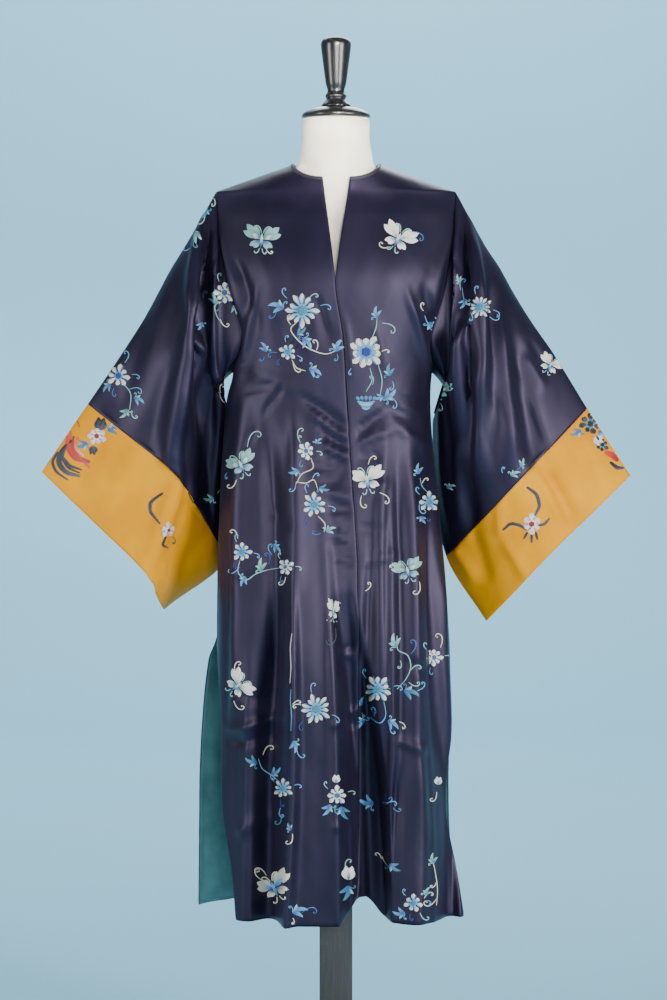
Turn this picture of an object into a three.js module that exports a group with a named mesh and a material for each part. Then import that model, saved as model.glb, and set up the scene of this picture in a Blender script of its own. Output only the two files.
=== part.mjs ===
// An embroidered silk robe with gold cuffs, worn open at the neck by a limbless dress form on its stand.
// Millimetres, +Z up. The front faces -Y, and the origin is the middle of the base's underside.
// "left" and "right" are the sides of a viewer who faces the robe's front: left is -X.
import * as THREE from "three";

const wall = 2.0; // silk, interlining and lining together
const seamGap = 0.3; // between pieces that are sewn or set together
const liningWall = 1.0;
const liningGap = 0.9; // its facets turn the other way, so it keeps clear of the back's
const liningShort = 0.12; // the lining stops this share of a grid step inside the back's edges

// Heights of the robe.
const hemZ = 262;
const ventZ = 722; // where the side vents start
const underarmZ = 1150;
const shoulderZ = 1445;
const neckZ = 1490; // the neckline where it crosses the shoulder
const slitZ = 1300; // below this the fronts meet edge to edge
const slitTopZ = 1464;
const neckHalf = 69;
const slitTopHalf = 22;
const bindingWidth = 5;
const bindingWall = 1.2;

// The sleeve's stations: 0 at the armhole, 1 at the cuff's seam, and the cuff's opening.
const cuffSeam = 1;
const cuffEnd = 1.33;

// The stand.
const baseRadius = 220;
const baseHeight = 20;
const columnSide = 54;
const formBottomZ = 770;
const formTopZ = 1563;
const shoulderSeat = 8.5; // how far the form's shoulder slope lies inside the cloth's, level
const armholeEase = 1.8; // rows crowd together towards the shoulder's tip
const backNeckDrop = 8;
const sleeveClear = 24; // how far the sleeve swells to pass the body's side under the arm
const underarmClear = 1; // the seam's extra room where the armhole turns under the arm
const cuffGap = 0.001; // the cuff's seam, as a share of the sleeve's length
const cuffUnderGap = 0.009; // more where the sleeve bends at its under edge

const gridRows = { skirt: 8, side: 5, chest: 7, neck: 5 };
const panelColumns = 16;
const backColumns = 24;
const sleeveColumns = 2 * (gridRows.chest + gridRows.neck); // one for each row of the armhole's two edges
const sleeveRows = 10;
const cuffRows = 3;

const colours = {
  navy: { color: 0x2a2744, roughness: 0.38, metalness: 0 },
  gold: { color: 0xe2b048, roughness: 0.4, metalness: 0 },
  teal: { color: 0x3a777e, roughness: 0.5, metalness: 0 },
  binding: { color: 0x17161f, roughness: 0.6, metalness: 0 },
  cream: { color: 0xf4ead9, roughness: 0.75, metalness: 0 },
  black: { color: 0x1d1f1f, roughness: 0.35, metalness: 0 },
};

// A table holds its column names, split at the spaces, and a row of numbers for each section or fold.
function table(columns, rows) {
  const names = columns.split(" ");
  return rows.map((row) => Object.fromEntries(names.map((name, i) => [name, row[i]])));
}

// Depth of the body's section at each height: Y of its front, side and back, and how square it is.
const depths = table("z front side back power", [
  [262, -106, 0, 146, 2.4],
  [450, -112, 4, 142, 2.4],
  [722, -128, 8, 136, 2.4],
  [900, -118, 8, 118, 2.4],
  [1060, -108, 10, 96, 2.4],
  [1150, -112, 10, 98, 2.4],
  [1290, -121, 8, 110, 2.3],
  [1400, -92, 5, 102, 1.8],
  [1445, -68, 5, 84, 1.5],
  [1490, -62, 5, 62, 1.5],
]);

// Half widths of the fronts' section (left, right) and the back's (backLeft, backRight).
const widths = table("z left right backLeft backRight", [
  [262, 205, 222, 242, 214],
  [335, 204, 206, 241, 206],
  [450, 200, 192, 238, 198],
  [580, 196, 192, 229, 196],
  [672, 196, 189, 216, 190],
  [722, 196, 186, 196, 186],
  [814, 195, 180, 195, 180],
  [960, 190, 166, 190, 166],
  [1106, 179, 155, 179, 155],
  [1150, 169, 157, 169, 157],
  [1211, 172, 168, 172, 168],
  [1301, 192, 190, 192, 190],
  [1380, 196, 196, 196, 196],
  [1445, 195.5, 195.5, 195.5, 195.5],
]);

// How far each panel's edge stops short of the full half width: vent edges below, armholes above.
const tucks = table("z left right back", [
  [262, 45, 13, 12],
  [335, 36, 8, 12],
  [450, 14, 12, 10],
  [580, 9, 4, 7],
  [672, 3, 2, 4],
  [722, 0, 0, 0],
  [1150, 0, 0, 0],
  [1180, 14, 8, 6],
  [1211, 20, 14, 7],
  [1301, 15, 12, 12],
  [1380, 6, 6, 6],
  [1445, 0, 0, 0],
]);

// X of the line where the fronts meet.
const closure = table("z x", [
  [262, 37],
  [550, 38],
  [830, 35],
  [1006, 24],
  [1118, 17],
  [1204, 11],
  [1300, -1],
  [1464, 0.5],
]);

// The skirt's largest folds. Each runs from fromZ, where it is flat, to the hem, at topX to hemX, and stands
// out (or in) by depth there. flat is the half width of its crest and flank the width of its slopes, at the hem.
const bodyFolds = table("fromZ topX hemX depth flat flank", [
  [1060, -58, -38, 32, 40, 24],
  [800, 8, 60, -44, 18, 16],
  [1000, 104, 124, 16, 32, 14],
  [940, 150, 186, -26, 3, 16],
  [900, -118, -112, -8, 6, 22],
]);
const backFolds = table("fromZ topX hemX depth flat flank", [
  [900, -120, -150, 16, 14, 26],
  [900, -60, -84, -16, 8, 26],
  [980, 0, -14, 20, 22, 28],
  [900, 62, 76, -18, 8, 28],
  [880, 120, 138, 16, 14, 26],
]);

// How far the hem hangs above hemZ, by X, along the fronts.
const hemRise = { middle: 44, half: 34, height: 34 };

// The sleeves. A station's section runs from its top edge through its crest to its under edge, and its two
// layers part by gap. Each point is X outwards from the middle, then Y, then Z.
const sleeves = {
  left: table("at topX topY topZ crestX crestY crestZ underX underY underZ gap", [
    [0.27, 248, 8, 1354, 226, -44, 1235, 184, 30, 1076, 92],
    [0.53, 307, 10, 1249, 250, -42, 1130, 196, 52, 992, 76],
    [0.76, 357, 8, 1172, 262, -36, 1058, 197, 68, 920, 62],
    [1, 407, 5, 1098, 256, -32, 984, 194, 80, 846, 52],
    [1.33, 483, 0, 987, 305, -26, 822, 286, 62, 757, 48],
  ]),
  right: table("at topX topY topZ crestX crestY crestZ underX underY underZ gap", [
    [0.27, 251, 8, 1344, 208, -46, 1235, 170, 30, 1070, 92],
    [0.53, 303, 10, 1257, 236, -46, 1122, 166, 52, 990, 78],
    [0.76, 361, 8, 1174, 264, -44, 1042, 168, 56, 916, 66],
    [1, 412, 5, 1091, 290, -40, 968, 183, 48, 846, 56],
    [1.33, 483, 0, 981, 344, -34, 852, 249, 36, 739, 50],
  ]),
};

// Folds that run along a sleeve's front: across is their place from its top edge to its under edge.
const sleeveFolds = {
  left: table("across endAcross from to depth width", [
    [0.7, 0.74, 0.05, 1.0, -20, 0.1],
    [0.86, 0.9, 0.05, 0.85, 12, 0.08],
    [0.46, 0.5, 0.1, 1.33, 10, 0.06],
  ]),
  right: table("across endAcross from to depth width", [
    [0.84, 0.86, 0.05, 0.9, 12, 0.08],
    [0.34, 0.36, 0.5, 1.33, -9, 0.07],
    [0.6, 0.64, 0.15, 1.0, 8, 0.09],
  ]),
};

// The form's section at each height, below its shoulder slope.
const formRows = table("z half front back power", [
  [770, 146, -84, 96, 2.3],
  [800, 156, -90, 106, 2.3],
  [880, 156, -94, 106, 2.3],
  [960, 142, -90, 94, 2.2],
  [1060, 118, -82, 76, 2.1],
  [1150, 128, -90, 82, 2.2],
  [1230, 140, -102, 90, 2.2],
  [1290, 146, -108, 94, 2.2],
  [1350, 156, -94, 96, 2.1],
  [1400, 172, -74, 88, 1.8],
  [1445, 183, -60, 72, 1.5],
]);

const neckRows = table("z half front back power", [
  [1486, 63, -56, 56, 1.6],
  [1500, 59.5, -55.5, 56, 1.8],
  [1513, 57.5, -55, 56, 2],
  [1530, 54.5, -54.5, 54.5, 2],
  [1563, 55, -55, 55, 2],
]);

// Reads a table at a height or station, easing every column between its rows without overshoot.
function read(rows, key, at) {
  const last = rows.length - 1;
  if (at <= rows[0][key]) return rows[0];
  if (at >= rows[last][key]) return rows[last];
  let i = 0;
  while (rows[i + 1][key] < at) i++;
  const a = rows[i];
  const b = rows[i + 1];
  const span = b[key] - a[key];
  const f = (at - a[key]) / span;
  const result = {};
  for (const name of Object.keys(a)) {
    const rise = (b[name] - a[name]) / span;
    const before = i > 0 ? (a[name] - rows[i - 1][name]) / (a[key] - rows[i - 1][key]) : rise;
    const after = i + 1 < last ? (rows[i + 2][name] - b[name]) / (rows[i + 2][key] - b[key]) : rise;
    const startSlope = before * rise > 0 ? (2 * before * rise) / (before + rise) : 0;
    const endSlope = after * rise > 0 ? (2 * after * rise) / (after + rise) : 0;
    const f2 = f * f;
    const f3 = f2 * f;
    result[name] =
      (2 * f3 - 3 * f2 + 1) * a[name] +
      (f3 - 2 * f2 + f) * span * startSlope +
      (3 * f2 - 2 * f3) * b[name] +
      (f3 - f2) * span * endSlope;
  }
  return result;
}

const lerp = THREE.MathUtils.lerp;
const clamp = THREE.MathUtils.clamp;
const smoothstep = THREE.MathUtils.smoothstep;

// A crest with level middle and eased flanks: 1 within flat, 0 past flat + flank.
function crest(distance, flat, flank) {
  return 1 - smoothstep(Math.abs(distance), flat, flat + flank);
}

// Half width of the body's section: the table below the shoulder's tip, the shoulder's slope above it.
function halfWidth(z, column) {
  if (z <= shoulderZ) return read(widths, "z", z)[column];
  const row = widths[widths.length - 1];
  return lerp(row[column], neckHalf, (z - shoulderZ) / (neckZ - shoulderZ));
}

function foldDepth(folds, x, z) {
  let sum = 0;
  for (const fold of folds) {
    const grown = clamp((fold.fromZ - z) / (fold.fromZ - hemZ), 0, 1);
    const ease = grown * (2 - grown);
    const middle = lerp(fold.topX, fold.hemX, ease);
    sum += fold.depth * ease * crest(x - middle, fold.flat * (0.4 + 0.6 * ease), fold.flank);
  }
  return sum;
}

// A point of the body's outer face and its outward direction. turn is -90 degrees at the left side,
// 0 in the middle and 90 at the right side; face is "front" or "back".
function bodyPoint(turn, z, face) {
  const column = face === "front" ? (turn < 0 ? "left" : "right") : turn < 0 ? "backLeft" : "backRight";
  const half = halfWidth(z, column);
  const section = read(depths, "z", z);
  const depth = section[face] - section.side;
  const share = Math.abs(Math.sin(turn));
  const x = half * Math.sin(turn);
  const hang = Math.pow(Math.max(0, 1 - Math.pow(share, section.power)), 1 / section.power);
  const slopeOf = (of) => (of(z + 0.5) - of(z - 0.5)) / 1;
  const halfSlope = slopeOf((at) => halfWidth(at, column));
  const depthSlope = slopeOf((at) => {
    const row = read(depths, "z", at);
    return row[face] - row.side;
  });
  const p = section.power;
  const outward = new THREE.Vector3(
    (Math.sign(turn) * Math.pow(share, p - 1)) / half,
    (Math.sign(depth) * Math.pow(hang, p - 1)) / Math.abs(depth),
    (-Math.pow(share, p) * halfSlope) / half - (Math.pow(hang, p) * depthSlope) / depth,
  ).normalize();
  const point = new THREE.Vector3(x, section.side + depth * hang, z);
  const folds = face === "front" ? bodyFolds : backFolds;
  point.y += outward.y * foldDepth(folds, x, z); // folds go in and out, never sideways
  return { point, outward };
}

function turnAt(x, z, face) {
  const column = face === "front" ? (x < 0 ? "left" : "right") : x < 0 ? "backLeft" : "backRight";
  return Math.asin(clamp(x / halfWidth(z, column), -1, 1));
}

// X of a panel's outer edge: the vent, the side seam or the armhole.
function edgeX(z, side, face) {
  const sign = side === "left" ? -1 : 1;
  const column = face === "front" ? side : side === "left" ? "backLeft" : "backRight";
  const tuck = read(tucks, "z", z)[face === "front" ? side : "back"];
  return sign * (halfWidth(z, column) - tuck);
}

function closureX(z, side) {
  const sign = side === "left" ? -1 : 1;
  const open = slitTopHalf * Math.pow(clamp((z - slitZ) / (slitTopZ - slitZ), 0, 1), 1.1);
  return read(closure, "z", z).x + sign * (open + seamGap / 2);
}

function hemAt(x) {
  return hemZ + hemRise.height * crest(x - hemRise.middle, 6, hemRise.half);
}

// Turns a grid of outer points and outward directions into one closed wall.
function shell(grid, thickness, closed) {
  const rows = grid.length;
  const columns = grid[0].length;
  const positions = [];
  for (const depth of [0, thickness]) {
    for (const row of grid) {
      for (const { point, outward } of row) {
        positions.push(...point.clone().addScaledVector(outward, -depth).toArray());
      }
    }
  }
  const inner = rows * columns;
  const index = [];
  const quad = (a, b, c, d) => index.push(a, b, c, a, c, d);
  const last = closed ? columns : columns - 1;
  for (let i = 0; i + 1 < rows; i++) {
    for (let j = 0; j < last; j++) {
      const k = (j + 1) % columns;
      const [a, b, c, d] = [i * columns + j, i * columns + k, (i + 1) * columns + k, (i + 1) * columns + j];
      quad(a, b, c, d);
      quad(inner + a, inner + d, inner + c, inner + b);
    }
  }
  for (const [i, flip] of [
    [0, false],
    [rows - 1, true],
  ]) {
    for (let j = 0; j < last; j++) {
      const a = i * columns + j;
      const b = i * columns + ((j + 1) % columns);
      if (flip) quad(a, b, inner + b, inner + a);
      else quad(b, a, inner + a, inner + b);
    }
  }
  if (!closed) {
    for (let i = 0; i + 1 < rows; i++) {
      const a = i * columns;
      const b = (i + 1) * columns;
      quad(a, b, inner + b, inner + a);
      quad(b + columns - 1, a + columns - 1, inner + a + columns - 1, inner + b + columns - 1);
    }
  }
  return facingOut(positions, index);
}

// Builds the geometry, with its faces turned round if they point inwards.
function facingOut(positions, index) {
  const at = (i) => new THREE.Vector3().fromArray(positions, 3 * i);
  let volume = 0;
  for (let i = 0; i < index.length; i += 3) {
    volume += at(index[i]).dot(at(index[i + 1]).cross(at(index[i + 2])));
  }
  if (volume < 0) index.reverse();
  const geometry = new THREE.BufferGeometry();
  geometry.setAttribute("position", new THREE.Float32BufferAttribute(positions, 3));
  geometry.setIndex(index);
  geometry.computeVertexNormals();
  return geometry;
}

// How far below the shoulder's tip the armhole is, at a share of the way down to the underarm.
function armholeDrop(share) {
  return (shoulderZ - underarmZ) * Math.pow(share, armholeEase);
}

// The neckline's sweep, 0 at the slit and 90 degrees at the shoulder, with its steps closer at the shoulder.
function neckSweep(share) {
  return (Math.PI / 2) * (1 - (1 - share) * (1 - share));
}

// Heights of one row of a panel at its inner and outer edge, and its place along the neckline.
function rowHeights(i, innerTop) {
  const { skirt, side, chest, neck } = gridRows;
  if (i <= skirt) {
    const z = lerp(hemZ, ventZ, i / skirt);
    return { innerZ: z, outerZ: z, sweep: 0 };
  }
  const outerAt = (row) => {
    const armhole = row - skirt - side;
    if (armhole <= 0) return lerp(ventZ, underarmZ, (row - skirt) / side);
    return shoulderZ - armholeDrop(1 - armhole / (chest + neck));
  };
  const main = skirt + side + chest;
  const outerZ = outerAt(i);
  if (i <= main) {
    return { innerZ: lerp(ventZ, innerTop, (outerZ - ventZ) / (outerAt(main) - ventZ)), outerZ, sweep: 0 };
  }
  const sweep = neckSweep((i - main) / neck);
  return { innerZ: lerp(innerTop, neckZ, 1 - Math.cos(sweep)), outerZ, sweep };
}

// Points of a panel between two edges, each [x, z], with the seams' gap kept at both.
function panelRow(from, to, columns, face) {
  const start = turnAt(from[0], from[1], face);
  const end = turnAt(to[0], to[1], face);
  return Array.from({ length: columns + 1 }, (_, j) => {
    const f = j / columns;
    return { turn: lerp(start, end, f), z: lerp(from[1], to[1], f) };
  });
}

const rowCount = gridRows.skirt + gridRows.side + gridRows.chest + gridRows.neck;
const rowNumbers = Array.from({ length: rowCount + 1 }, (_, i) => i);

// A front, from the closure and the neckline to the vent, the side seam and the armhole.
function frontGrid(side) {
  const sign = side === "left" ? -1 : 1;
  return rowNumbers.map((i) => {
    const { innerZ, outerZ, sweep } = rowHeights(i, slitTopZ);
    const neckX = sign * lerp(slitTopHalf, neckHalf, Math.sin(sweep));
    const inner = [sweep > 0 ? neckX : closureX(innerZ, side), innerZ];
    const row = panelRow(inner, [edgeX(outerZ, side, "front"), outerZ], panelColumns, "front");
    return row.map(({ turn, z }) => {
      const entry = bodyPoint(turn, z, "front");
      return i === 0 ? bodyPoint(turn, hemAt(entry.point.x), "front") : entry;
    });
  });
}

// One half of the back, from its middle seam and the back neckline to the side.
function backGrid(side) {
  const sign = side === "left" ? -1 : 1;
  return rowNumbers.map((i) => {
    const { innerZ, outerZ, sweep } = rowHeights(i, neckZ - backNeckDrop);
    const inner = [sign * lerp(seamGap / 2, neckHalf, Math.sin(sweep)), innerZ];
    const row = panelRow(inner, [edgeX(outerZ, side, "back"), outerZ], backColumns / 2, "back");
    return row.map(({ turn, z }) => bodyPoint(turn, z, "back"));
  });
}

// Trims the seams between fronts and backs: the grid's points on a side or shoulder seam move in by half the gap.
function withSideGap(grid, face) {
  const inward = face === "front" ? -1 : 1;
  for (const row of grid) {
    for (const entry of row) {
      const { z } = entry.point;
      const onSeam = Math.abs(entry.outward.y) < 1e-6;
      if (onSeam && z >= ventZ - 1) entry.point.y += (inward * seamGap) / 2;
    }
  }
  return grid;
}

// The armhole: a loop from the shoulder's tip, down the front's edge, under the arm and up the back's edge.
function armholePoint(side, around) {
  const face = around <= 0.5 ? "front" : "back";
  const z = shoulderZ - armholeDrop(lowness(around));
  return bodyPoint(turnAt(edgeX(z, side, face), z, face), z, face);
}

function sleevePath(rows, at, side, share) {
  const sign = side === "left" ? -1 : 1;
  const row = read(rows, "at", at);
  const top = new THREE.Vector3(sign * row.topX, row.topY, row.topZ);
  const mid = new THREE.Vector3(sign * row.crestX, row.crestY, row.crestZ);
  const under = new THREE.Vector3(sign * row.underX, row.underY, row.underZ);
  const straight = (s) =>
    s < 0.5 ? top.clone().lerp(mid, 2 * s) : mid.clone().lerp(under, 2 * s - 1);
  const bend = 0.09;
  return straight(share)
    .multiplyScalar(2)
    .add(straight(share - bend))
    .add(straight(share + bend))
    .divideScalar(4);
}

// A sleeve's outer face. around runs from its top edge (0) down the front, past the under edge (0.5), up the back.
function sleevePoint(side, at, around) {
  const rows = sleeves[side];
  const turn = ((around % 1) + 1) % 1;
  const share = (1 - Math.cos(2 * Math.PI * turn)) / 2;
  const first = rows[0].at;
  const station = Math.max(at, first);
  const centre = sleevePath(rows, station, side, share);
  const along = sleevePath(rows, station, side, share + 0.01).sub(sleevePath(rows, station, side, share - 0.01));
  const facing = new THREE.Vector3(0, -1, 0);
  facing.addScaledVector(along, -facing.dot(along) / along.lengthSq()).normalize();
  const gap = read(rows, "at", station).gap;
  const layer = turn <= 0.5 ? 1 : -1;
  const part = Math.pow(Math.sin(Math.PI * share), 0.6) * (gap / 2) * layer;
  const point = centre.addScaledVector(facing, part);
  if (turn < 0.5) {
    for (const fold of sleeveFolds[side]) {
      const f = clamp((at - fold.from) / (fold.to - fold.from), 0, 1);
      const strength = smoothstep(at, fold.from, fold.from + 0.3) * (1 - 0.5 * f);
      const past = at > fold.to ? Math.max(0, 1 - (at - fold.to) / 0.15) : 1;
      const offset = share - lerp(fold.across, fold.endAcross, f);
      point.addScaledVector(facing, fold.depth * strength * past * crest(offset, fold.width * 0.3, fold.width));
    }
  }
  if (at >= first) return point;
  const { point: root, outward } = armholePoint(side, turn);
  const f = at / first;
  return root.lerp(point, f).addScaledVector(outward, sleeveClear * share * 4 * f * (1 - f));
}

function sleeveOutward(side, at, around) {
  const step = 0.004;
  const from = Math.max(at - 0.01, 0);
  const dAlong = sleevePoint(side, at + 0.01, around).sub(sleevePoint(side, from, around));
  const dAround = sleevePoint(side, at, around + step).sub(sleevePoint(side, at, around - step));
  const sign = side === "left" ? 1 : -1;
  return dAround.cross(dAlong).multiplyScalar(sign).normalize();
}

// The first ring follows the armhole, a seam's gap away, and its wall leans so that it misses the body's.
function armholeRing(side, around) {
  const { point, outward } = armholePoint(side, around);
  const edge = armholePoint(side, (around + 0.005) % 1).point.sub(armholePoint(side, (around + 0.995) % 1).point);
  const sign = side === "left" ? 1 : -1;
  const away = edge.cross(outward).multiplyScalar(sign).normalize();
  const own = sleeveOutward(side, 0.02, around);
  const leaving = sleevePoint(side, 0.04, around).sub(point).normalize();
  const concave = smoothstep(leaving.dot(outward), -0.1, 0.5);
  const lean = outward.clone().lerp(own, concave).normalize();
  const extra = underarmClear * lowness(around);
  point.addScaledVector(outward, 1.2 * extra);
  point.addScaledVector(away, 2 * seamGap + extra);
  return { point, outward: lean };
}

// 0 at a sleeve's top edge, 1 at its under edge.
function lowness(around) {
  return 1 - Math.abs(1 - 2 * around);
}

// Rings of a sleeve or cuff. underGap starts the under edge that much later, where the sleeve bends.
function sleeveGrid(side, from, to, rows, underGap) {
  return Array.from({ length: rows + 1 }, (_, i) => {
    return Array.from({ length: sleeveColumns }, (_, j) => {
      const around = j / sleeveColumns;
      const at = lerp(from + underGap * lowness(around), to, i / rows);
      if (at === 0) return armholeRing(side, around);
      const seam = Math.abs(at - cuffSeam) < 0.01 ? cuffSeam : at;
      return { point: sleevePoint(side, at, around), outward: sleeveOutward(side, seam, around) };
    });
  });
}

function piece(name, geometry, colour) {
  const mesh = new THREE.Mesh(geometry, new THREE.MeshStandardMaterial(colours[colour]));
  mesh.name = name;
  return mesh;
}

function makeRobe() {
  const robe = new THREE.Group();
  for (const side of ["left", "right"]) {
    robe.add(piece("front_" + side, shell(withSideGap(frontGrid(side), "front"), wall, false), "navy"));
    robe.add(piece("back_" + side, shell(withSideGap(backGrid(side), "back"), wall, false), "navy"));
    robe.add(piece("sleeve_" + side, shell(sleeveGrid(side, 0, cuffSeam, sleeveRows, 0), wall, true), "navy"));
    const cuff = sleeveGrid(side, cuffSeam + cuffGap, cuffEnd, cuffRows, cuffUnderGap);
    robe.add(piece("cuff_" + side, shell(cuff, wall, true), "gold"));
  }
  return robe;
}

// The lining shows inside the back's skirt, at the open vents and under the hem. It lies on the back's inner
// face and stops a little inside its edges.
function makeLining(side) {
  const between = (a, b, f) => ({
    point: a.point.clone().lerp(b.point, f),
    outward: a.outward.clone().lerp(b.outward, f),
  });
  const trim = (line, blend) => {
    const last = line.length - 1;
    return [blend(line[0], line[1]), ...line.slice(1, last), blend(line[last], line[last - 1])];
  };
  const cut = (row) => trim(row, (edge, next) => between(edge, next, liningShort));
  const rows = backGrid(side).slice(0, gridRows.skirt + 1).map(cut);
  const grid = trim(rows, (edge, next) => edge.map((entry, j) => between(entry, next[j], liningShort)));
  const lining = grid.map((row) =>
    row.map(({ point, outward }) => ({ point: point.clone().addScaledVector(outward, -wall - liningGap), outward })),
  );
  return piece("lining_" + side, shell(lining, liningWall, false), "teal");
}

// A narrow binding lies on the cloth along the neckline, from slit to slit round the back.
function makeBinding() {
  const steps = gridRows.neck;
  const slope = Math.atan2(neckZ - shoulderZ, halfWidth(shoulderZ, "left") - neckHalf);
  const quarter = (face, fromX, fromZ) =>
    Array.from({ length: steps + 1 }, (_, i) => {
      const sweep = neckSweep(i / steps);
      const down = -sweep * (1 - slope / (Math.PI / 2)) + Math.PI / 2;
      return {
        face,
        x: lerp(fromX, neckHalf, Math.sin(sweep)),
        z: lerp(fromZ, neckZ, 1 - Math.cos(sweep)),
        spread: Math.cos(down),
        drop: Math.sin(down),
      };
    });
  const front = quarter("front", slitTopHalf + 1, slitTopZ);
  const back = quarter("back", 0, neckZ - backNeckDrop).reverse().slice(1);
  const half = [...front, ...back];
  const leftHalf = half.map((place) => ({ ...place, mirror: -1 }));
  const rightHalf = half.slice(0, -1).map((place) => ({ ...place, mirror: 1 }));
  const path = [...leftHalf, ...rightHalf.reverse()];
  const lift = 3.4 * seamGap + bindingWall;
  const grid = [0, bindingWidth].map((below) =>
    path.map(({ face, x, z, spread, drop, mirror }) => {
      const level = z - below * drop;
      const { point, outward } = bodyPoint(turnAt(mirror * (x + below * spread), level, face), level, face);
      return { point: point.addScaledVector(outward, lift), outward };
    }),
  );
  return piece("neck_binding", shell(grid, bindingWall, false), "binding");
}

function ringPoint(row, angle) {
  const s = Math.sin(angle);
  const c = Math.cos(angle);
  const depth = c < 0 ? Math.abs(row.front) : row.back;
  const power = 2 / row.power;
  return new THREE.Vector3(
    row.half * Math.sign(s) * Math.pow(Math.abs(s), power),
    depth * Math.sign(c) * Math.pow(Math.abs(c), power) + row.side,
    row.z,
  );
}

// The form: a neck, a shoulder slope that the robe hangs on, a bust, a waist and a cut-off hip.
function makeForm() {
  const count = 28;
  const slope = 4;
  const shoulder = Array.from({ length: slope }, (_, i) => {
    const z = lerp(shoulderZ, neckRows[0].z, (i + 0.6) / slope);
    const cloth = read(depths, "z", z);
    return {
      z,
      half: halfWidth(z, "left") - shoulderSeat,
      front: cloth.front + 6,
      back: cloth.back - 6,
      power: 1.48,
    };
  });
  const rings = [...formRows, ...shoulder, ...neckRows].map((row) => ({ ...row, side: row.z > 1500 ? 0 : 2 }));
  const positions = [];
  for (const row of rings) {
    for (let j = 0; j < count; j++) positions.push(...ringPoint(row, (2 * Math.PI * j) / count).toArray());
  }
  const index = [];
  for (let i = 0; i + 1 < rings.length; i++) {
    for (let j = 0; j < count; j++) {
      const k = (j + 1) % count;
      const [a, b, c, d] = [i * count + j, i * count + k, (i + 1) * count + k, (i + 1) * count + j];
      index.push(a, b, c, a, c, d);
    }
  }
  const bottom = positions.length / 3;
  positions.push(0, 0, rings[0].z, 0, 0, rings[rings.length - 1].z);
  const top = (rings.length - 1) * count;
  for (let j = 0; j < count; j++) {
    const k = (j + 1) % count;
    index.push(bottom, k, j, bottom + 1, top + j, top + k);
  }
  return piece("form_torso", facingOut(positions, index), "cream");
}

function lathe(profile, segments) {
  const points = profile.map(([radius, z]) => new THREE.Vector2(radius, z));
  return new THREE.LatheGeometry(points, segments).rotateX(Math.PI / 2);
}

// The turned wood: a domed cap on the neck and a finial on it.
function makeTurnedWood(group) {
  const capBottom = formTopZ + seamGap;
  const capTop = 1582;
  const cap = [
    [0, capBottom],
    [55, capBottom],
    [57, capBottom + 3],
    [56, capBottom + 7],
    [47, capTop - 5.5],
    [34, capTop - 1.5],
    [26, capTop],
    [0, capTop],
  ];
  group.add(piece("neck_cap", lathe(cap, 28), "black"));
  const foot = capTop + seamGap;
  const finial = [
    [0, foot],
    [25, foot],
    [24.5, foot + 3],
    [18, foot + 10],
    [14.5, foot + 14],
    [18, foot + 17],
    [17.5, foot + 20],
    [13.5, foot + 24],
    [13.8, foot + 29],
    [16.5, foot + 36],
    [22, foot + 76],
    [25, foot + 100],
    [24.5, foot + 106],
    [20, foot + 111],
    [15.4, foot + 112.7],
    [0, foot + 112.7],
  ];
  group.add(piece("finial", lathe(finial, 20), "black"));
}

function makeStand() {
  const stand = new THREE.Group();
  stand.add(makeForm());
  makeTurnedWood(stand);
  const columnLength = formBottomZ - baseHeight - 2 * seamGap;
  const column = new THREE.BoxGeometry(columnSide, columnSide, columnLength);
  column.translate(0, 0, baseHeight + seamGap + columnLength / 2);
  stand.add(piece("column", column, "black"));
  const base = [
    [0, 0],
    [baseRadius, 0],
    [baseRadius, baseHeight * 0.6],
    [baseRadius - 6, baseHeight],
    [0, baseHeight],
  ];
  stand.add(piece("base", lathe(base, 36), "black"));
  return stand;
}

const root = new THREE.Group();
root.add(makeRobe());
root.add(makeLining("left"));
root.add(makeLining("right"));
root.add(makeBinding());
root.add(makeStand());

export default root;
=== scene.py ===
import math
from functools import partialmethod

import bmesh
import bpy
import numpy as np
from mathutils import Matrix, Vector
from mathutils.bvhtree import BVHTree


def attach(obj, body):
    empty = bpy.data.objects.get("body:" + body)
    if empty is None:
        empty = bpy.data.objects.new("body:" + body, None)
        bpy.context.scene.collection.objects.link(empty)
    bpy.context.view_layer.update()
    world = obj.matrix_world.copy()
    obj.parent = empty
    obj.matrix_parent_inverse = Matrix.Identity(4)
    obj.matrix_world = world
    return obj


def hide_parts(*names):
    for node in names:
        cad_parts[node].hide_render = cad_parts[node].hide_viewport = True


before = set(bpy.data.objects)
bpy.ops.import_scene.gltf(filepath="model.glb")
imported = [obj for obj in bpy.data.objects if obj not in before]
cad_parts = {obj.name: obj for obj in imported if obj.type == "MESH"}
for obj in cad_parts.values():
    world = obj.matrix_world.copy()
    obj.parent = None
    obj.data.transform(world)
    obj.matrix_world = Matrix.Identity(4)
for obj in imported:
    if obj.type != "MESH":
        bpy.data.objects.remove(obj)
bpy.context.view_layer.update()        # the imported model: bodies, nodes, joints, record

mm = 0.001

# the robe's cut, in millimetres: x to the viewer's right, z up, the front faces -y
robe = {
    "wall": 1.8, "hemZ": 262, "ventZ": 722, "underarmZ": 1150, "shoulderZ": 1445, "neckZ": 1490,
    "slitZ": 1300, "slitTopZ": 1464, "neckHalf": 69, "slitTopHalf": 22, "backNeckDrop": 8,
    "armholeEase": 1.8, "sleeveClear": 24, "seamGap": 0.3,
    "cuffSeam": 1.0, "cuffEnd": 1.33,
}
rowSteps = {"skirt": 96, "side": 60, "chest": 50, "neck": 26}
panelSteps = {"front": 84, "back": 64}
sleeveSteps = {"around": 132, "sleeve": 88, "cuff": 34}
signs = {"left": -1, "right": 1}


def table(columns, rows):
    values = np.array(rows, float)
    return {name: values[:, i] for i, name in enumerate(columns.split())}


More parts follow.
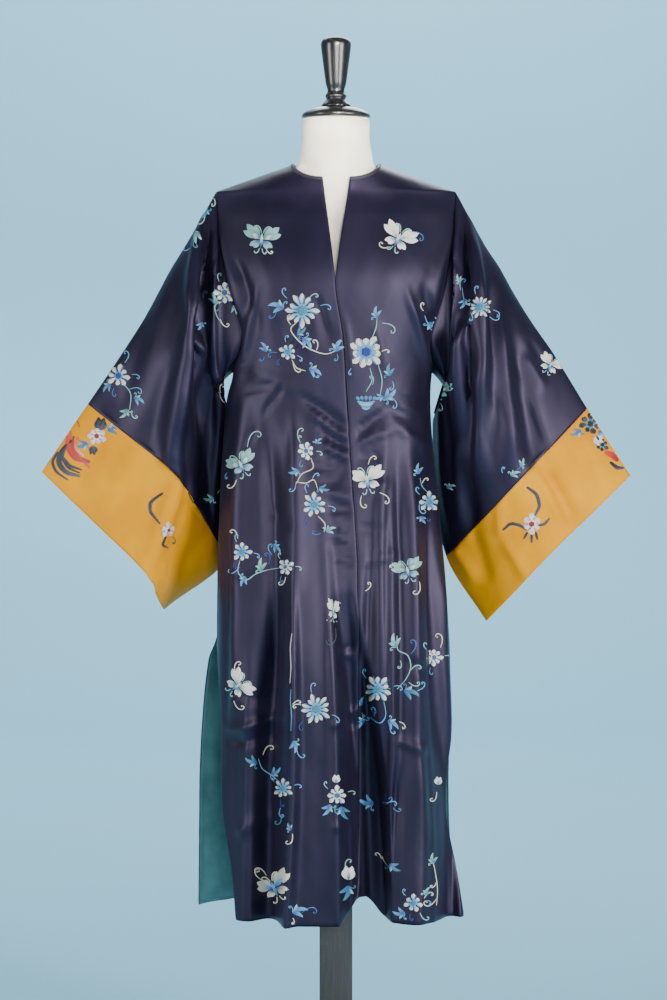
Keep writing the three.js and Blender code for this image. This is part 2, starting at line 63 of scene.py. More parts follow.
# y of the body's section in front, at its sides and behind, and how square it is
depths = table("z front side back power", [
    [262, -106, 0, 146, 2.4],
    [450, -112, 4, 142, 2.4],
    [722, -128, 8, 136, 2.4],
    [900, -118, 8, 118, 2.4],
    [1060, -108, 10, 96, 2.4],
    [1150, -112, 10, 98, 2.4],
    [1290, -121, 8, 110, 2.3],
    [1400, -92, 5, 102, 1.8],
    [1445, -68, 5, 84, 1.5],
    [1490, -62, 5, 62, 1.5],
])
# half widths of the fronts' section and of the back's
widths = table("z left right backLeft backRight", [
    [262, 205, 222, 242, 214],
    [335, 204, 206, 241, 206],
    [450, 200, 192, 238, 198],
    [580, 196, 192, 229, 196],
    [672, 196, 189, 216, 190],
    [722, 196, 186, 196, 186],
    [814, 195, 180, 195, 180],
    [960, 190, 166, 190, 166],
    [1106, 179, 155, 179, 155],
    [1150, 169, 157, 169, 157],
    [1211, 172, 168, 172, 168],
    [1301, 192, 190, 192, 190],
    [1380, 196, 196, 196, 196],
    [1445, 195.5, 195.5, 195.5, 195.5],
])
# how far a panel's edge stops short of the full half width: vents below, armholes above
tucks = table("z left right back", [
    [262, 45, 13, 12],
    [335, 36, 8, 12],
    [450, 14, 12, 10],
    [580, 9, 4, 7],
    [672, 3, 2, 4],
    [722, 0, 0, 0],
    [1150, 0, 0, 0],
    [1180, 14, 8, 6],
    [1211, 20, 14, 7],
    [1301, 15, 12, 12],
    [1380, 6, 6, 6],
    [1445, 0, 0, 0],
])
# where the fronts meet
closure = table("z x", [
    [262, 37], [550, 38], [830, 35], [1006, 24], [1118, 17], [1204, 11], [1300, -1], [1464, 0.5],
])
# the skirt's largest folds, flat at fromZ and full at the hem
bodyFolds = table("fromZ topX hemX depth flat flank", [
    [1060, -58, -38, 32, 40, 24],
    [800, 8, 60, -44, 18, 16],
    [1000, 104, 124, 16, 32, 14],
    [940, 150, 186, -26, 3, 16],
    [900, -118, -112, -8, 6, 22],
])
backFolds = table("fromZ topX hemX depth flat flank", [
    [900, -120, -150, 16, 14, 26],
    [900, -60, -84, -16, 8, 26],
    [980, 0, -14, 20, 22, 28],
    [900, 62, 76, -18, 8, 28],
    [880, 120, 138, 16, 14, 26],
])
hemRise = {"middle": 44, "half": 34, "height": 34}
# a sleeve's sections, from top edge through crest to under edge; gap parts its two layers
sleeves = {
    "left": table("at topX topY topZ crestX crestY crestZ underX underY underZ gap", [
        [0.27, 248, 8, 1354, 226, -44, 1235, 175, 52, 1076, 92],
        [0.53, 307, 10, 1249, 250, -42, 1130, 180, 64, 992, 76],
        [0.76, 357, 8, 1172, 262, -36, 1058, 183, 76, 919, 62],
        [1, 407, 5, 1098, 256, -32, 984, 184, 86, 846, 52],
        [1.33, 483, 0, 987, 305, -26, 822, 286, 62, 757, 48],
    ]),
    "right": table("at topX topY topZ crestX crestY crestZ underX underY underZ gap", [
        [0.27, 251, 8, 1344, 208, -46, 1235, 160, 50, 1070, 92],
        [0.53, 303, 10, 1257, 236, -46, 1122, 161, 57, 990, 78],
        [0.76, 361, 8, 1174, 264, -44, 1042, 167, 59, 916, 66],
        [1, 412, 5, 1091, 290, -40, 968, 183, 48, 846, 56],
        [1.33, 483, 0, 981, 344, -34, 852, 249, 36, 739, 50],
    ]),
}
sleeveFolds = {
    "left": table("across endAcross start end depth width", [
        [0.7, 0.74, 0.05, 1.0, -20, 0.1],
        [0.86, 0.9, 0.05, 0.85, 12, 0.08],
        [0.46, 0.5, 0.1, 1.33, 10, 0.06],
    ]),
    "right": table("across endAcross start end depth width", [
        [0.84, 0.86, 0.05, 0.9, 12, 0.08],
        [0.34, 0.36, 0.5, 1.33, -9, 0.07],
        [0.6, 0.64, 0.15, 1.0, 8, 0.09],
    ]),
}


def hermite(f, start, leaving, end, arriving):
    # a cubic from start to end, with its slope at either end
    return ((2 * f ** 3 - 3 * f ** 2 + 1) * start + (f ** 3 - 2 * f ** 2 + f) * leaving
            + (3 * f ** 2 - 2 * f ** 3) * end + (f ** 3 - f ** 2) * arriving)


def read(rows, key, column, at):
    # eased between the rows without overshoot
    x, y = rows[key], rows[column]
    rise = np.diff(y) / np.diff(x)
    product = rise[:-1] * rise[1:]
    total = np.where(product > 0, rise[:-1] + rise[1:], 1)
    slope = np.concatenate([rise[:1], np.where(product > 0, 2 * product / total, 0), rise[-1:]])
    at = np.clip(at, x[0], x[-1])
    i = np.clip(np.searchsorted(x, at, side="right") - 1, 0, len(x) - 2)
    span = x[i + 1] - x[i]
    return hermite((at - x[i]) / span, y[i], span * slope[i], y[i + 1], span * slope[i + 1])


def lerp(a, b, f):
    return a + (b - a) * f


def smoothstep(value, low, high):
    f = np.clip((value - low) / (high - low), 0, 1)
    return f * f * (3 - 2 * f)


def crest(distance, flat, flank):
    return 1 - smoothstep(np.abs(distance), flat, flat + flank)


def unit(vectors):
    return vectors / np.maximum(np.linalg.norm(vectors, axis=-1, keepdims=True), 1e-12)


def halfOf(z, column):
    tip = widths[column][-1]
    slope = lerp(tip, robe["neckHalf"], (z - robe["shoulderZ"]) / (robe["neckZ"] - robe["shoulderZ"]))
    return np.where(z <= robe["shoulderZ"], read(widths, "z", column, z), slope)


def sideColumns(face):
    return ("left", "right") if face == "front" else ("backLeft", "backRight")


def halfWidth(z, sign, face):
    left, right = sideColumns(face)
    return np.where(sign < 0, halfOf(z, left), halfOf(z, right))


def foldDepth(folds, x, z):
    total = np.zeros(np.broadcast(x, z).shape)
    for fromZ, topX, hemX, depth, flat, flank in zip(*folds.values()):
        grown = np.clip((fromZ - z) / (fromZ - robe["hemZ"]), 0, 1)
        ease = grown * (2 - grown)
        total += depth * ease * crest(x - lerp(topX, hemX, ease), flat * (0.4 + 0.6 * ease), flank)
    return total


def bodySurface(turn, z, face):
    # turn is -90 degrees at the left side, 0 in the middle and 90 at the right side
    sign = np.sign(turn)
    half = halfWidth(z, sign, face)
    power = read(depths, "z", "power", z)
    sideY = read(depths, "z", "side", z)
    depthAt = lambda level: read(depths, "z", face, level) - read(depths, "z", "side", level)
    depth = depthAt(z)
    share = np.abs(np.sin(turn))
    hang = np.maximum(0, 1 - share ** power) ** (1 / power)
    halfSlope = halfWidth(z + 0.5, sign, face) - halfWidth(z - 0.5, sign, face)
    depthSlope = depthAt(z + 0.5) - depthAt(z - 0.5)
    outward = unit(np.stack([
        sign * share ** (power - 1) / half,
        np.sign(depth) * hang ** (power - 1) / np.abs(depth),
        -share ** power * halfSlope / half - hang ** power * depthSlope / depth,
    ], axis=-1))
    x = half * np.sin(turn)
    point = np.stack([x, sideY + depth * hang, z + 0 * x], axis=-1)
    folds = bodyFolds if face == "front" else backFolds
    point[..., 1] += outward[..., 1] * foldDepth(folds, x, z)      # folds go in and out, never sideways
    return point, outward


def turnAt(x, z, face):
    return np.arcsin(np.clip(x / halfWidth(z, np.sign(x), face), -1, 1))


def edgeX(z, side, face):
    sign = signs[side]
    column = sideColumns(face)[0 if side == "left" else 1]
    return sign * (halfOf(z, column) - read(tucks, "z", side if face == "front" else "back", z))


def closureX(z, side):
    sign = signs[side]
    opened = np.clip((z - robe["slitZ"]) / (robe["slitTopZ"] - robe["slitZ"]), 0, 1) ** 1.1
    return read(closure, "z", "x", z) + sign * (robe["slitTopHalf"] * opened + robe["seamGap"] / 2)


def armholeZ(share):
    return robe["shoulderZ"] - (robe["shoulderZ"] - robe["underarmZ"]) * share ** robe["armholeEase"]


def neckSweep(share):
    return math.pi / 2 * (1 - (1 - share) ** 2)


def panelLevels(innerTop):
    # heights of each row at its inner and outer edge, and its place along the neckline
    skirt, side, chest, neck = rowSteps.values()
    lower = np.linspace(robe["hemZ"], robe["ventZ"], skirt + 1)
    middle = np.linspace(robe["ventZ"], robe["underarmZ"], side + 1)[1:]
    upper = armholeZ(1 - np.arange(1, chest + neck + 1) / (chest + neck))
    outer = np.concatenate([lower, middle, upper])
    main = skirt + side + chest
    sweep = np.zeros(len(outer))
    sweep[main:] = neckSweep(np.arange(neck + 1) / neck)
    rise = np.clip((outer - robe["ventZ"]) / (outer[main] - robe["ventZ"]), 0, 1)
    inner = np.where(outer <= robe["ventZ"], outer, lerp(robe["ventZ"], innerTop, rise))
    inner[main:] = lerp(innerTop, robe["neckZ"], 1 - np.cos(sweep[main:]))
    return inner, outer, sweep


def panelGrid(side, face):
    # turn and z over a panel, from its closure or middle seam to its outer edge
    sign = signs[side]
    isFront = face == "front"
    innerTop = robe["slitTopZ"] if isFront else robe["neckZ"] - robe["backNeckDrop"]
    innerZ, outerZ, sweep = panelLevels(innerTop)
    start = robe["slitTopHalf"] if isFront else 0
    neckX = sign * lerp(start, robe["neckHalf"], np.sin(sweep))
    middleX = closureX(innerZ, side) if isFront else np.full(len(innerZ), sign * robe["seamGap"] / 2)
    innerX = np.where(sweep > 0, neckX, middleX)
    innerTurn = turnAt(innerX, innerZ, face)
    outerTurn = turnAt(edgeX(outerZ, side, face), outerZ, face)
    f = np.linspace(0, 1, panelSteps[face] + 1)[None, :]
    turn = lerp(innerTurn[:, None], outerTurn[:, None], f)
    z = lerp(innerZ[:, None], outerZ[:, None], f)
    if isFront:
        x = halfWidth(z, np.sign(turn), face) * np.sin(turn)
        lift = hemRise["height"] * crest(x - hemRise["middle"], 6, hemRise["half"])
        z = z + lift * np.clip(1 - (z - robe["hemZ"]) / 62, 0, 1)
    return turn, z


def lowness(around):
    return 1 - np.abs(1 - 2 * around)


def armholePoint(side, around):
    z = armholeZ(lowness(around))
    points, outwards = [], []
    for face in ("front", "back"):
        point, outward = bodySurface(turnAt(edgeX(z, side, face), z, face), z, face)
        points.append(point)
        outwards.append(outward)
    front = (around <= 0.5)[..., None]
    return np.where(front, *points), np.where(front, *outwards)


def sleevePath(side, at, share):
    sign = signs[side]
    rows = sleeves[side]
    spot = lambda name: np.stack([read(rows, "at", name + axis, at) * (sign if axis == "X" else 1)
                                  for axis in "XYZ"], axis=-1)
    top, middle, under = spot("top"), spot("crest"), spot("under")

    def straight(s):
        s = s[..., None]
        return np.where(s < 0.5, lerp(top, middle, 2 * s), lerp(middle, under, 2 * s - 1))

    bend = 0.09
    return (2 * straight(share) + straight(share - bend) + straight(share + bend)) / 4


def sleeveSurface(side, at, around):
    # around runs from the top edge (0) down the front, past the under edge (0.5), up the back
    rows = sleeves[side]
    around = np.mod(around, 1)
    at, around = np.broadcast_arrays(at, around)
    share = (1 - np.cos(2 * math.pi * around)) / 2
    first = rows["at"][0]
    station = np.maximum(at, first)
    centre = sleevePath(side, station, share)
    along = sleevePath(side, station, share + 0.01) - sleevePath(side, station, share - 0.01)
    facing = np.array([0.0, -1.0, 0.0]) - along * (-along[..., 1] / (along ** 2).sum(-1))[..., None]
    facing = unit(facing)
    layer = np.where(around <= 0.5, 1, -1)
    part = np.sin(math.pi * share) ** 0.6 * read(rows, "at", "gap", station) / 2 * layer
    for across, endAcross, start, end, depth, width in zip(*sleeveFolds[side].values()):
        f = np.clip((at - start) / (end - start), 0, 1)
        strength = smoothstep(at, start, start + 0.3) * (1 - 0.5 * f)
        past = np.where(at > end, np.maximum(0, 1 - (at - end) / 0.15), 1)
        offset = share - lerp(across, endAcross, f)
        part = part + np.where(around < 0.5, depth * strength * past * crest(offset, width * 0.3, width), 0)
    point = centre + facing * part[..., None]
    root, outward = armholePoint(side, around)
    f = np.clip(at / first, 0, 1)[..., None]
    swell = robe["sleeveClear"] * share[..., None] * 4 * f * (1 - f)
    return np.where(f < 1, lerp(root, point, f) + outward * swell, point)


def sleeveOutward(side, at, around):
    step = 0.004
    alongway = sleeveSurface(side, at + 0.01, around) - sleeveSurface(side, np.maximum(at - 0.01, 0), around)
    roundway = sleeveSurface(side, at, around + step) - sleeveSurface(side, at, around - step)
    sign = signs[side]
    return unit(np.cross(roundway, alongway) * sign)


print("cut: tables read")


# creases, listed one by one: a row's columns are x0, z0, x1, z1, depth, width and lean; each crease runs from its
# first point to its second and stands out by depth, or in if that is negative, over width to either side
creases = {
    "front": [
        # under the arms
        [-198, 1400, -150, 1215, 5, 10, 0.3],
        [-128, 1290, -176, 1090, 4.5, 9, -0.3],
        [-160, 1330, -128, 1215, -3.5, 9, 0],
        [190, 1395, 150, 1225, 4, 10, -0.3],
        [112, 1286, 164, 1100, 4.5, 8, 0.3],
        [140, 1290, 172, 1150, -3, 8, 0],
        # pulled towards the hidden hooks at the waist
        [-58, 1112, 20, 1056, -3.4, 6, 0.3],
        [-42, 1086, 22, 1040, 3.0, 6, 0.2],
        [-30, 1062, 24, 1030, -3.0, 5, 0],
        [-24, 1034, 26, 1010, 2.4, 5, 0],
        [-46, 1000, 25, 986, -2.2, 6, 0],
        [-30, 962, 28, 948, 2.4, 6, 0.2],
        [-20, 934, 30, 926, -2.4, 5, 0],
        [-34, 896, 32, 884, 2.0, 6, 0],
        [-10, 858, 33, 846, -1.8, 5, 0],
        [30, 1054, 84, 1086, -3.2, 6, -0.2],
        [34, 1036, 96, 1058, 2.6, 6, 0],
        [32, 1012, 70, 1020, -2.0, 5, 0],
        [34, 960, 92, 972, 1.8, 7, 0],
        [36, 900, 80, 893, -1.6, 6, 0],
        [38, 846, 110, 862, 1.8, 7, 0],
        # short sharp ones beside the closure and over the hips
        [-40, 1076, 14, 1046, -2.6, 3.2, 0.3],
        [-30, 1052, 18, 1024, -2.4, 3.0, 0.2],
        [-26, 1016, 22, 1000, -2.2, 3.2, 0],
        [-18, 980, 24, 972, -2.0, 3.0, 0],
        [-22, 948, 26, 940, -1.8, 3.2, 0],
        [26, 1040, 60, 1062, -2.6, 3.2, -0.2],
        [30, 1002, 76, 1016, -2.0, 3.2, 0],
        [-150, 1120, -96, 1132, -2.2, 3.6, 0],
        [-120, 1082, -84, 1128, -2.4, 4.0, 0.3],
        [-150, 1010, -126, 1060, -2.2, 3.6, 0],
        [96, 1112, 150, 1092, -2.2, 3.6, 0],
        [112, 1060, 156, 1040, -2.2, 3.4, 0],
        [-10, 905, 34, 880, -1.8, 3.2, 0],
        [-14, 868, 26, 872, -1.6, 3.2, 0],
        [-84, 1196, -46, 1172, -1.8, 4.0, 0],
        [10, 700, 30, 716, -1.8, 3.2, 0],
        # chest
        [-30, 1270, -8, 1190, -2.6, 8, 0],
        [14, 1240, 26, 1140, 1.8, 7, 0],
        [-96, 1240, -70, 1150, -1.8, 10, 0],
        [60, 1230, 84, 1140, 1.8, 10, 0],
        [-150, 1160, -60, 1120, 1.8, 9, 0],
        [70, 1100, 150, 1060, -2.2, 8, 0],
        [86, 1072, 160, 1020, 2.2, 9, 0],
        # long soft folds down the skirt
        [-146, 1120, -160, 560, 8.0, 18, 0.3],
        [-172, 900, -182, 560, -5.0, 9, 0],
        [-112, 1080, -100, 560, -8.0, 17, 0],
        [-70, 1080, -66, 760, 6.0, 13, -0.5],
        [-70, 820, -82, 262, 12.0, 9, -0.8],
        [-98, 790, -112, 262, -13.0, 13, 0.2],
        [-136, 700, -146, 262, 6.5, 16, 0],
        [-36, 1040, -28, 420, -4.0, 16, 0],
        [-8, 760, -4, 300, 4.5, 13, 0],
        [16, 820, 20, 500, -3.5, 8, 0],
        [60, 900, 62, 262, -7.5, 12, 0],
        [80, 1040, 84, 560, 5.0, 12, 0.3],
        [99, 1000, 105, 430, -6.5, 10, 0],
        [118, 1060, 128, 262, 7.5, 15, 0.2],
        [158, 1000, 172, 470, -8.5, 10, 0],
        [176, 860, 186, 500, 4.5, 8, 0],
        [100, 520, 92, 262, -7.0, 9, 0],
        [126, 560, 134, 262, 5.5, 14, 0],
        # set and slack creases across the skirt
        [-178, 570, -76, 604, 4.5, 8, 0.4],
        [-176, 548, -104, 562, -3.2, 7, 0],
        [-170, 640, -110, 620, -2.4, 9, 0],
        [-8, 584, 40, 610, 3.0, 5, 0.3],
        [0, 570, 38, 588, -2.6, 5, 0],
        [4, 700, 34, 690, 2.0, 6, 0],
        [-6, 420, 30, 436, 2.0, 8, 0],
        [96, 560, 150, 540, 2.4, 8, 0],
        [-160, 400, -110, 436, 3.0, 10, 0],
        [110, 690, 150, 660, -2.0, 8, 0],
        [-110, 930, -66, 900, -2.0, 9, 0],
        [-160, 820, -110, 850, 2.0, 9, 0],
    ],
    "back": [
        [-176, 1380, -140, 1200, 5, 11, 0.2],
        [178, 1385, 146, 1190, 5, 10, -0.2],
        [-110, 1330, -152, 1120, 4, 12, 0],
        [118, 1320, 150, 1130, 4, 11, 0],
        [-60, 1400, -70, 1240, -2.5, 14, 0],
        [66, 1390, 60, 1260, -2.5, 14, 0],
        [-120, 1080, -30, 1040, -2.8, 9, 0.2],
        [-104, 1050, -10, 1012, 2.6, 9, 0],
        [20, 1030, 120, 1064, -2.8, 9, 0],
        [34, 1000, 130, 1030, 2.4, 9, 0],
        [-150, 1040, -170, 640, 5, 14, 0.2],
        [-110, 1020, -116, 520, -5, 14, 0],
        [-66, 1000, -60, 420, 5, 14, 0],
        [-20, 1060, -26, 480, -4, 14, 0],
        [24, 980, 20, 360, 5, 13, 0.2],
        [60, 1020, 68, 500, -5, 14, 0],
        [104, 1000, 112, 460, 5, 14, 0],
        [146, 1030, 158, 600, -4.5, 12, 0],
        [-150, 620, -160, 262, -4, 12, 0],
        [-40, 560, -36, 262, 5, 12, 0.4],
        [52, 520, 60, 262, 5, 13, -0.4],
        [136, 540, 140, 262, -5, 12, 0],
        [-170, 590, -90, 630, 3.5, 8, 0.3],
        [40, 660, 120, 640, 3, 9, 0],
        [-60, 760, 10, 780, -2.4, 9, 0],
        [-10, 420, 60, 440, 2.6, 9, 0],
        [90, 820, 150, 850, 2.4, 9, 0],
    ],
    "sleeveLeft": [
        [-212, 1408, -234, 1225, 11, 9, 0.3],
        [-232, 1250, -268, 1000, 11, 11, 0.3],
        [-262, 1040, -282, 930, 4, 10, 0],
        [-203, 1400, -214, 1000, -15, 9, 0],
        [-198, 1404, -192, 1060, 10, 8, -0.3],
        [-206, 1168, -212, 1000, 5, 6, 0],
        [-226, 1330, -246, 1110, -4, 8, 0],
        [-262, 1180, -306, 1010, -5.0, 15, 0],
        [-238, 1360, -320, 1120, 4.5, 20, 0.2],
        [-300, 1230, -370, 1060, -3.6, 18, 0],
        [-222, 1010, -218, 880, 4, 9, 0],
        [-240, 1000, -232, 860, -4, 8, 0],
    ],
    "sleeveRight": [
        [196, 1404, 200, 1060, 11, 9, 0.2],
        [207, 1402, 218, 1000, -14, 9, 0],
        [216, 1396, 236, 1080, 10, 10, 0],
        [228, 1180, 236, 960, 6, 10, 0],
        [246, 1300, 262, 1000, -7, 13, 0],
        [264, 1260, 292, 990, 8, 14, 0.3],
        [292, 1200, 322, 990, -5.5, 15, 0],
        [240, 1360, 330, 1150, 4.0, 18, 0],
        [300, 1180, 344, 1120, 2.6, 8, 0],
        [312, 1204, 350, 1150, -2.2, 7, 0],
        [196, 1040, 204, 900, 5, 9, 0],
        [214, 1000, 226, 880, -4, 8, 0],
    ],
    "sleeveBack": [
        [-214, 1396, -240, 1150, 7, 10, 0],
        [-204, 1380, -212, 1060, -7, 10, 0],
        [-250, 1250, -300, 1040, 4, 14, 0],
        [-240, 1080, -250, 930, 5, 12, 0],
        [212, 1396, 238, 1160, 7, 10, 0],
        [204, 1380, 210, 1070, -7, 10, 0],
        [256, 1240, 300, 1030, 4, 14, 0],
        [236, 1080, 244, 920, 5, 12, 0],
    ],
    "cuffLeft": [
        # the turned edge between the outside and the part that swings back
        [-246, 996, -294, 844, 10, 6, 0.4],
        [-262, 972, -300, 872, 3.5, 7, 0],
        [-318, 1040, -372, 900, 3.6, 18, 0],
        [-380, 1060, -430, 950, -3.2, 16, 0],
        [-222, 960, -262, 820, -9, 16, 0.2],
        [-222, 880, -262, 800, -3, 9, 0],
        [-280, 850, -284, 790, 3, 8, 0],
    ],
    "cuffRight": [
        [311, 1004, 376, 900, 8, 8, 0.3],
        [264, 940, 270, 880, 5, 6, 0],
        [270, 882, 316, 806, 5, 7, 0.2],
        [338, 996, 392, 900, -6, 12, 0],
        [220, 900, 250, 800, -3, 10, 0],
        [400, 1056, 440, 970, 3.6, 14, 0],
        [190, 870, 232, 800, 4, 10, 0],
    ],
    "cuffBack": [
        [-300, 980, -340, 860, 5, 12, 0],
        [-380, 1030, -420, 940, -3, 14, 0],
        [300, 980, 340, 850, 5, 12, 0],
        [390, 1030, 430, 940, -3, 14, 0],
    ],
}
creaseStrength = 1.4
unevenness = {"body": 0.45, "sleeve": 0.5, "cuff": 0.5}
# shortest and longest wave, how many, and how much longer they are along the cloth
waves = {"broad": (34, 120, 14, 2.2), "fine": (12, 26, 12, 1.3), "slack": (14, 46, 12, 4.0)}
fineShare = 0.16


def creaseDepth(points, outward, rows, faceSign):
    total = np.zeros(points.shape[:-1])
    x, z = points[..., 0], points[..., 2]
    facing = smoothstep(-faceSign * outward[..., 1], 0.05, 0.4)
    for x0, z0, x1, z1, depth, width, lean in rows:
        dx, dz = x1 - x0, z1 - z0
        length = math.hypot(dx, dz)
        f = ((x - x0) * dx + (z - z0) * dz) / length ** 2
        swing = 0.06 * length * np.sin(math.pi * np.clip(f, 0, 1)) * math.sin(3 * x0 + z0)
        spread = width * (0.75 + 0.5 * np.clip(f, 0, 1))
        q = (((x - x0) * dz - (z - z0) * dx) / length + swing * 0.4) / spread
        fade = smoothstep(f, -0.08, 0.25) * (1 - smoothstep(f, 0.7, 1.08))
        if z1 <= robe["hemZ"]:
            fade = smoothstep(f, -0.08, 0.25)
        total += depth * creaseStrength * fade * np.exp(-q * q) * (1 + lean * np.clip(q, -1.5, 1.5))
    return total * facing


def ripples(across, along, seed, shortest, longest, count, stretch):
    # a sum of fixed waves, longer along the cloth than across it
    random = np.random.default_rng(seed)
    total = np.zeros(np.broadcast(across, along).shape)
    for _ in range(count):
        wave = 2 * math.pi / lerp(shortest, longest, random.random())
        heading = random.uniform(-0.9, 0.9)
        phase, slow = random.uniform(0, 2 * math.pi, 2)
        warp = 0.8 * np.sin(along / (longest * 2.3) + slow)
        total += np.sin(wave * (across * math.cos(heading) + along / stretch * math.sin(heading)) + phase + warp)
    return total / math.sqrt(count)


def creased(points, outward, rows, faceSign, seed, amount, keep):
    # keep is 0 along seams, so that pieces still meet there, and 1 away from them
    relief = creaseDepth(points, outward, rows, faceSign)
    facing = smoothstep(-faceSign * outward[..., 1], 0.0, 0.5)
    x, z = points[..., 0], points[..., 2]
    relief += amount * facing * ripples(x, z, seed, *waves["broad"])
    relief += amount * fineShare * facing * ripples(x, z, seed + 1, *waves["fine"])
    return points + outward * (relief * keep)[..., None]


def normalsOf(points, outward, closed):
    # directions square to a grid of points, turned to the same side as outward
    if closed:
        across = np.roll(points, -1, axis=1) - np.roll(points, 1, axis=1)
    else:
        across = np.gradient(points, axis=1)
    along = np.gradient(points, axis=0)
    normal = unit(np.cross(across, along))
    return np.where((normal * outward).sum(-1, keepdims=True) < 0, -normal, normal)


def link(name, mesh, materials, body="root"):
    for material in materials:
        mesh.materials.append(material)
    piece = bpy.data.objects.new(name, mesh)
    bpy.context.scene.collection.objects.link(piece)
    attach(piece, body)
    return piece


def smooth(mesh):
    mesh.polygons.foreach_set("use_smooth", [True] * len(mesh.polygons))
    mesh.update()


def gridFaces(rows, columns, closed, start=0):
    i, j = np.meshgrid(np.arange(rows - 1), np.arange(columns if closed else columns - 1), indexing="ij")
    a = start + i * columns + j
    b = start + i * columns + (j + 1) % columns
    return np.stack([a, b, b + columns, a + columns], axis=-1).reshape(-1, 4)


def shell(name, points, normals, wall, closed, materials):
    # a grid of outer points becomes one closed wall; the inside takes the second material
    rows, columns = points.shape[:2]
    count = rows * columns
    inner = points - normals * wall
    vertices = np.concatenate([points.reshape(-1, 3), inner.reshape(-1, 3)]) * mm
    outside = gridFaces(rows, columns, closed)
    corners = points.reshape(-1, 3)[outside]
    facing = np.cross(corners[:, 1] - corners[:, 0], corners[:, 3] - corners[:, 0])
    if (facing * normals.reshape(-1, 3)[outside[:, 0]]).sum() < 0:
        outside = outside[:, ::-1]
    inside = outside[:, ::-1] + count
    edges = outside[:, [0, 1]], outside[:, [1, 2]], outside[:, [2, 3]], outside[:, [3, 0]]
    edges = np.concatenate(edges)
    seen = {(a, b) for a, b in edges.tolist()}
    rim = np.array([(b, a, a + count, b + count) for a, b in edges.tolist() if (b, a) not in seen])
    faces = np.concatenate([outside, inside, rim])
    mesh = bpy.data.meshes.new(name)
    mesh.from_pydata(vertices.tolist(), [], faces.tolist())
    indices = np.zeros(len(faces), int)
    indices[len(outside):len(outside) + len(inside)] = 1
    mesh.polygons.foreach_set("material_index", indices)
    steps = lambda axis: np.cumsum(np.linalg.norm(np.diff(points, axis=axis), axis=-1).mean(1 - axis))
    u = np.concatenate([[0], steps(1)]) * mm
    v = np.concatenate([[0], steps(0)]) * mm
    place = np.stack(np.meshgrid(u, v), axis=-1).reshape(-1, 2)
    place = np.concatenate([place, place])
    layer = mesh.uv_layers.new(name="cloth")
    layer.data.foreach_set("uv", place[faces.ravel()].ravel())
    smooth(mesh)
    return link(name, mesh, materials)


# materials
class Wire:
    # wraps a socket, so that shader maths reads as ordinary expressions
    def __init__(self, shader, socket):
        self.shader = shader
        self.socket = socket

    def math(self, operation, *others):
        values = {i + 1: other for i, other in enumerate(others)}
        return self.shader.node("ShaderNodeMath", {"operation": operation}, {0: self, **values})

    def flipped(self, operation, other):
        return self.shader.node("ShaderNodeMath", {"operation": operation}, {0: other, 1: self})

    __add__ = partialmethod(math, "ADD")
    __radd__ = partialmethod(flipped, "ADD")
    __sub__ = partialmethod(math, "SUBTRACT")
    __rsub__ = partialmethod(flipped, "SUBTRACT")
    __mul__ = partialmethod(math, "MULTIPLY")
    __rmul__ = partialmethod(flipped, "MULTIPLY")
    __truediv__ = partialmethod(math, "DIVIDE")
    __pow__ = partialmethod(math, "POWER")
    sine = partialmethod(math, "SINE")

    def limit(self, low, high):
        ramp = {"From Min": low, "From Max": high, "To Min": 0.0, "To Max": 1.0}
        settings = {"clamp": True, "interpolation_type": "SMOOTHSTEP"}
        return self.shader.node("ShaderNodeMapRange", settings, {"Value": self, **ramp}, "Result")


class Shader:
    def __init__(self, name):
        self.material = bpy.data.materials.new(name)
        self.material.use_nodes = True
        self.tree = self.material.node_tree
        self.surface = self.tree.nodes["Principled BSDF"]

    def node(self, kind, settings=None, values=None, output=0):
        made = self.tree.nodes.new(kind)
        for key, value in (settings or {}).items():
            if key == "stops":
                ramp = made.color_ramp.elements
                while len(ramp) < len(value):
                    ramp.new(0.5)
                for stop, (place, colour) in zip(ramp, value):
                    stop.position = place
                    stop.color = (*colour, 1)
            else:
                setattr(made, key, value)
        for key, value in (values or {}).items():
            self.feed(made.inputs[key], value)
        return Wire(self, made.outputs[output])

    def feed(self, socket, value):
        if isinstance(value, Wire):
            self.tree.links.new(value.socket, socket)
        else:
            socket.default_value = value

    def set(self, **values):
        for name, value in values.items():
            label = " ".join(word.capitalize() for word in name.split("_")).replace("Ior", "IOR")
            self.feed(self.surface.inputs[label], value)

    def uv(self, layer="cloth"):
        return self.node("ShaderNodeUVMap", {"uv_map": layer})

    def place(self):
        return self.node("ShaderNodeTexCoord", None, None, "Object")

    def join(self, x, y, z):
        return self.node("ShaderNodeCombineXYZ", None, {"X": x, "Y": y, "Z": z})

    def split(self, vector):
        made = self.tree.nodes.new("ShaderNodeSeparateXYZ")
        self.feed(made.inputs[0], vector)
        return [Wire(self, output) for output in made.outputs]

    def noise(self, vector, scale, detail=3.0, roughness=0.5):
        values = {"Vector": vector, "Scale": scale, "Detail": detail, "Roughness": roughness}
        return self.node("ShaderNodeTexNoise", None, values, "Fac")

    def blendColour(self, factor, first, second):
        # a Mix node's colour sockets stand sixth and seventh, behind those of its other types
        made = self.tree.nodes.new("ShaderNodeMix")
        made.data_type = "RGBA"
        self.feed(made.inputs[0], factor)
        self.feed(made.inputs[6], (*first, 1) if isinstance(first, tuple) else first)
        self.feed(made.inputs[7], (*second, 1) if isinstance(second, tuple) else second)
        return Wire(self, made.outputs[2])

    def bump(self, height, distance, strength=1.0, normal=None):
        values = {"Height": height, "Distance": distance, "Strength": strength}
        if normal is not None:
            values["Normal"] = normal
        return self.node("ShaderNodeBump", None, values)


def linear(red, green, blue):
    # a paint colour given from 0 to 255
    return tuple((c / 255 / 12.92) if c < 10.3 else ((c / 255 + 0.055) / 1.055) ** 2.4 for c in (red, green, blue))


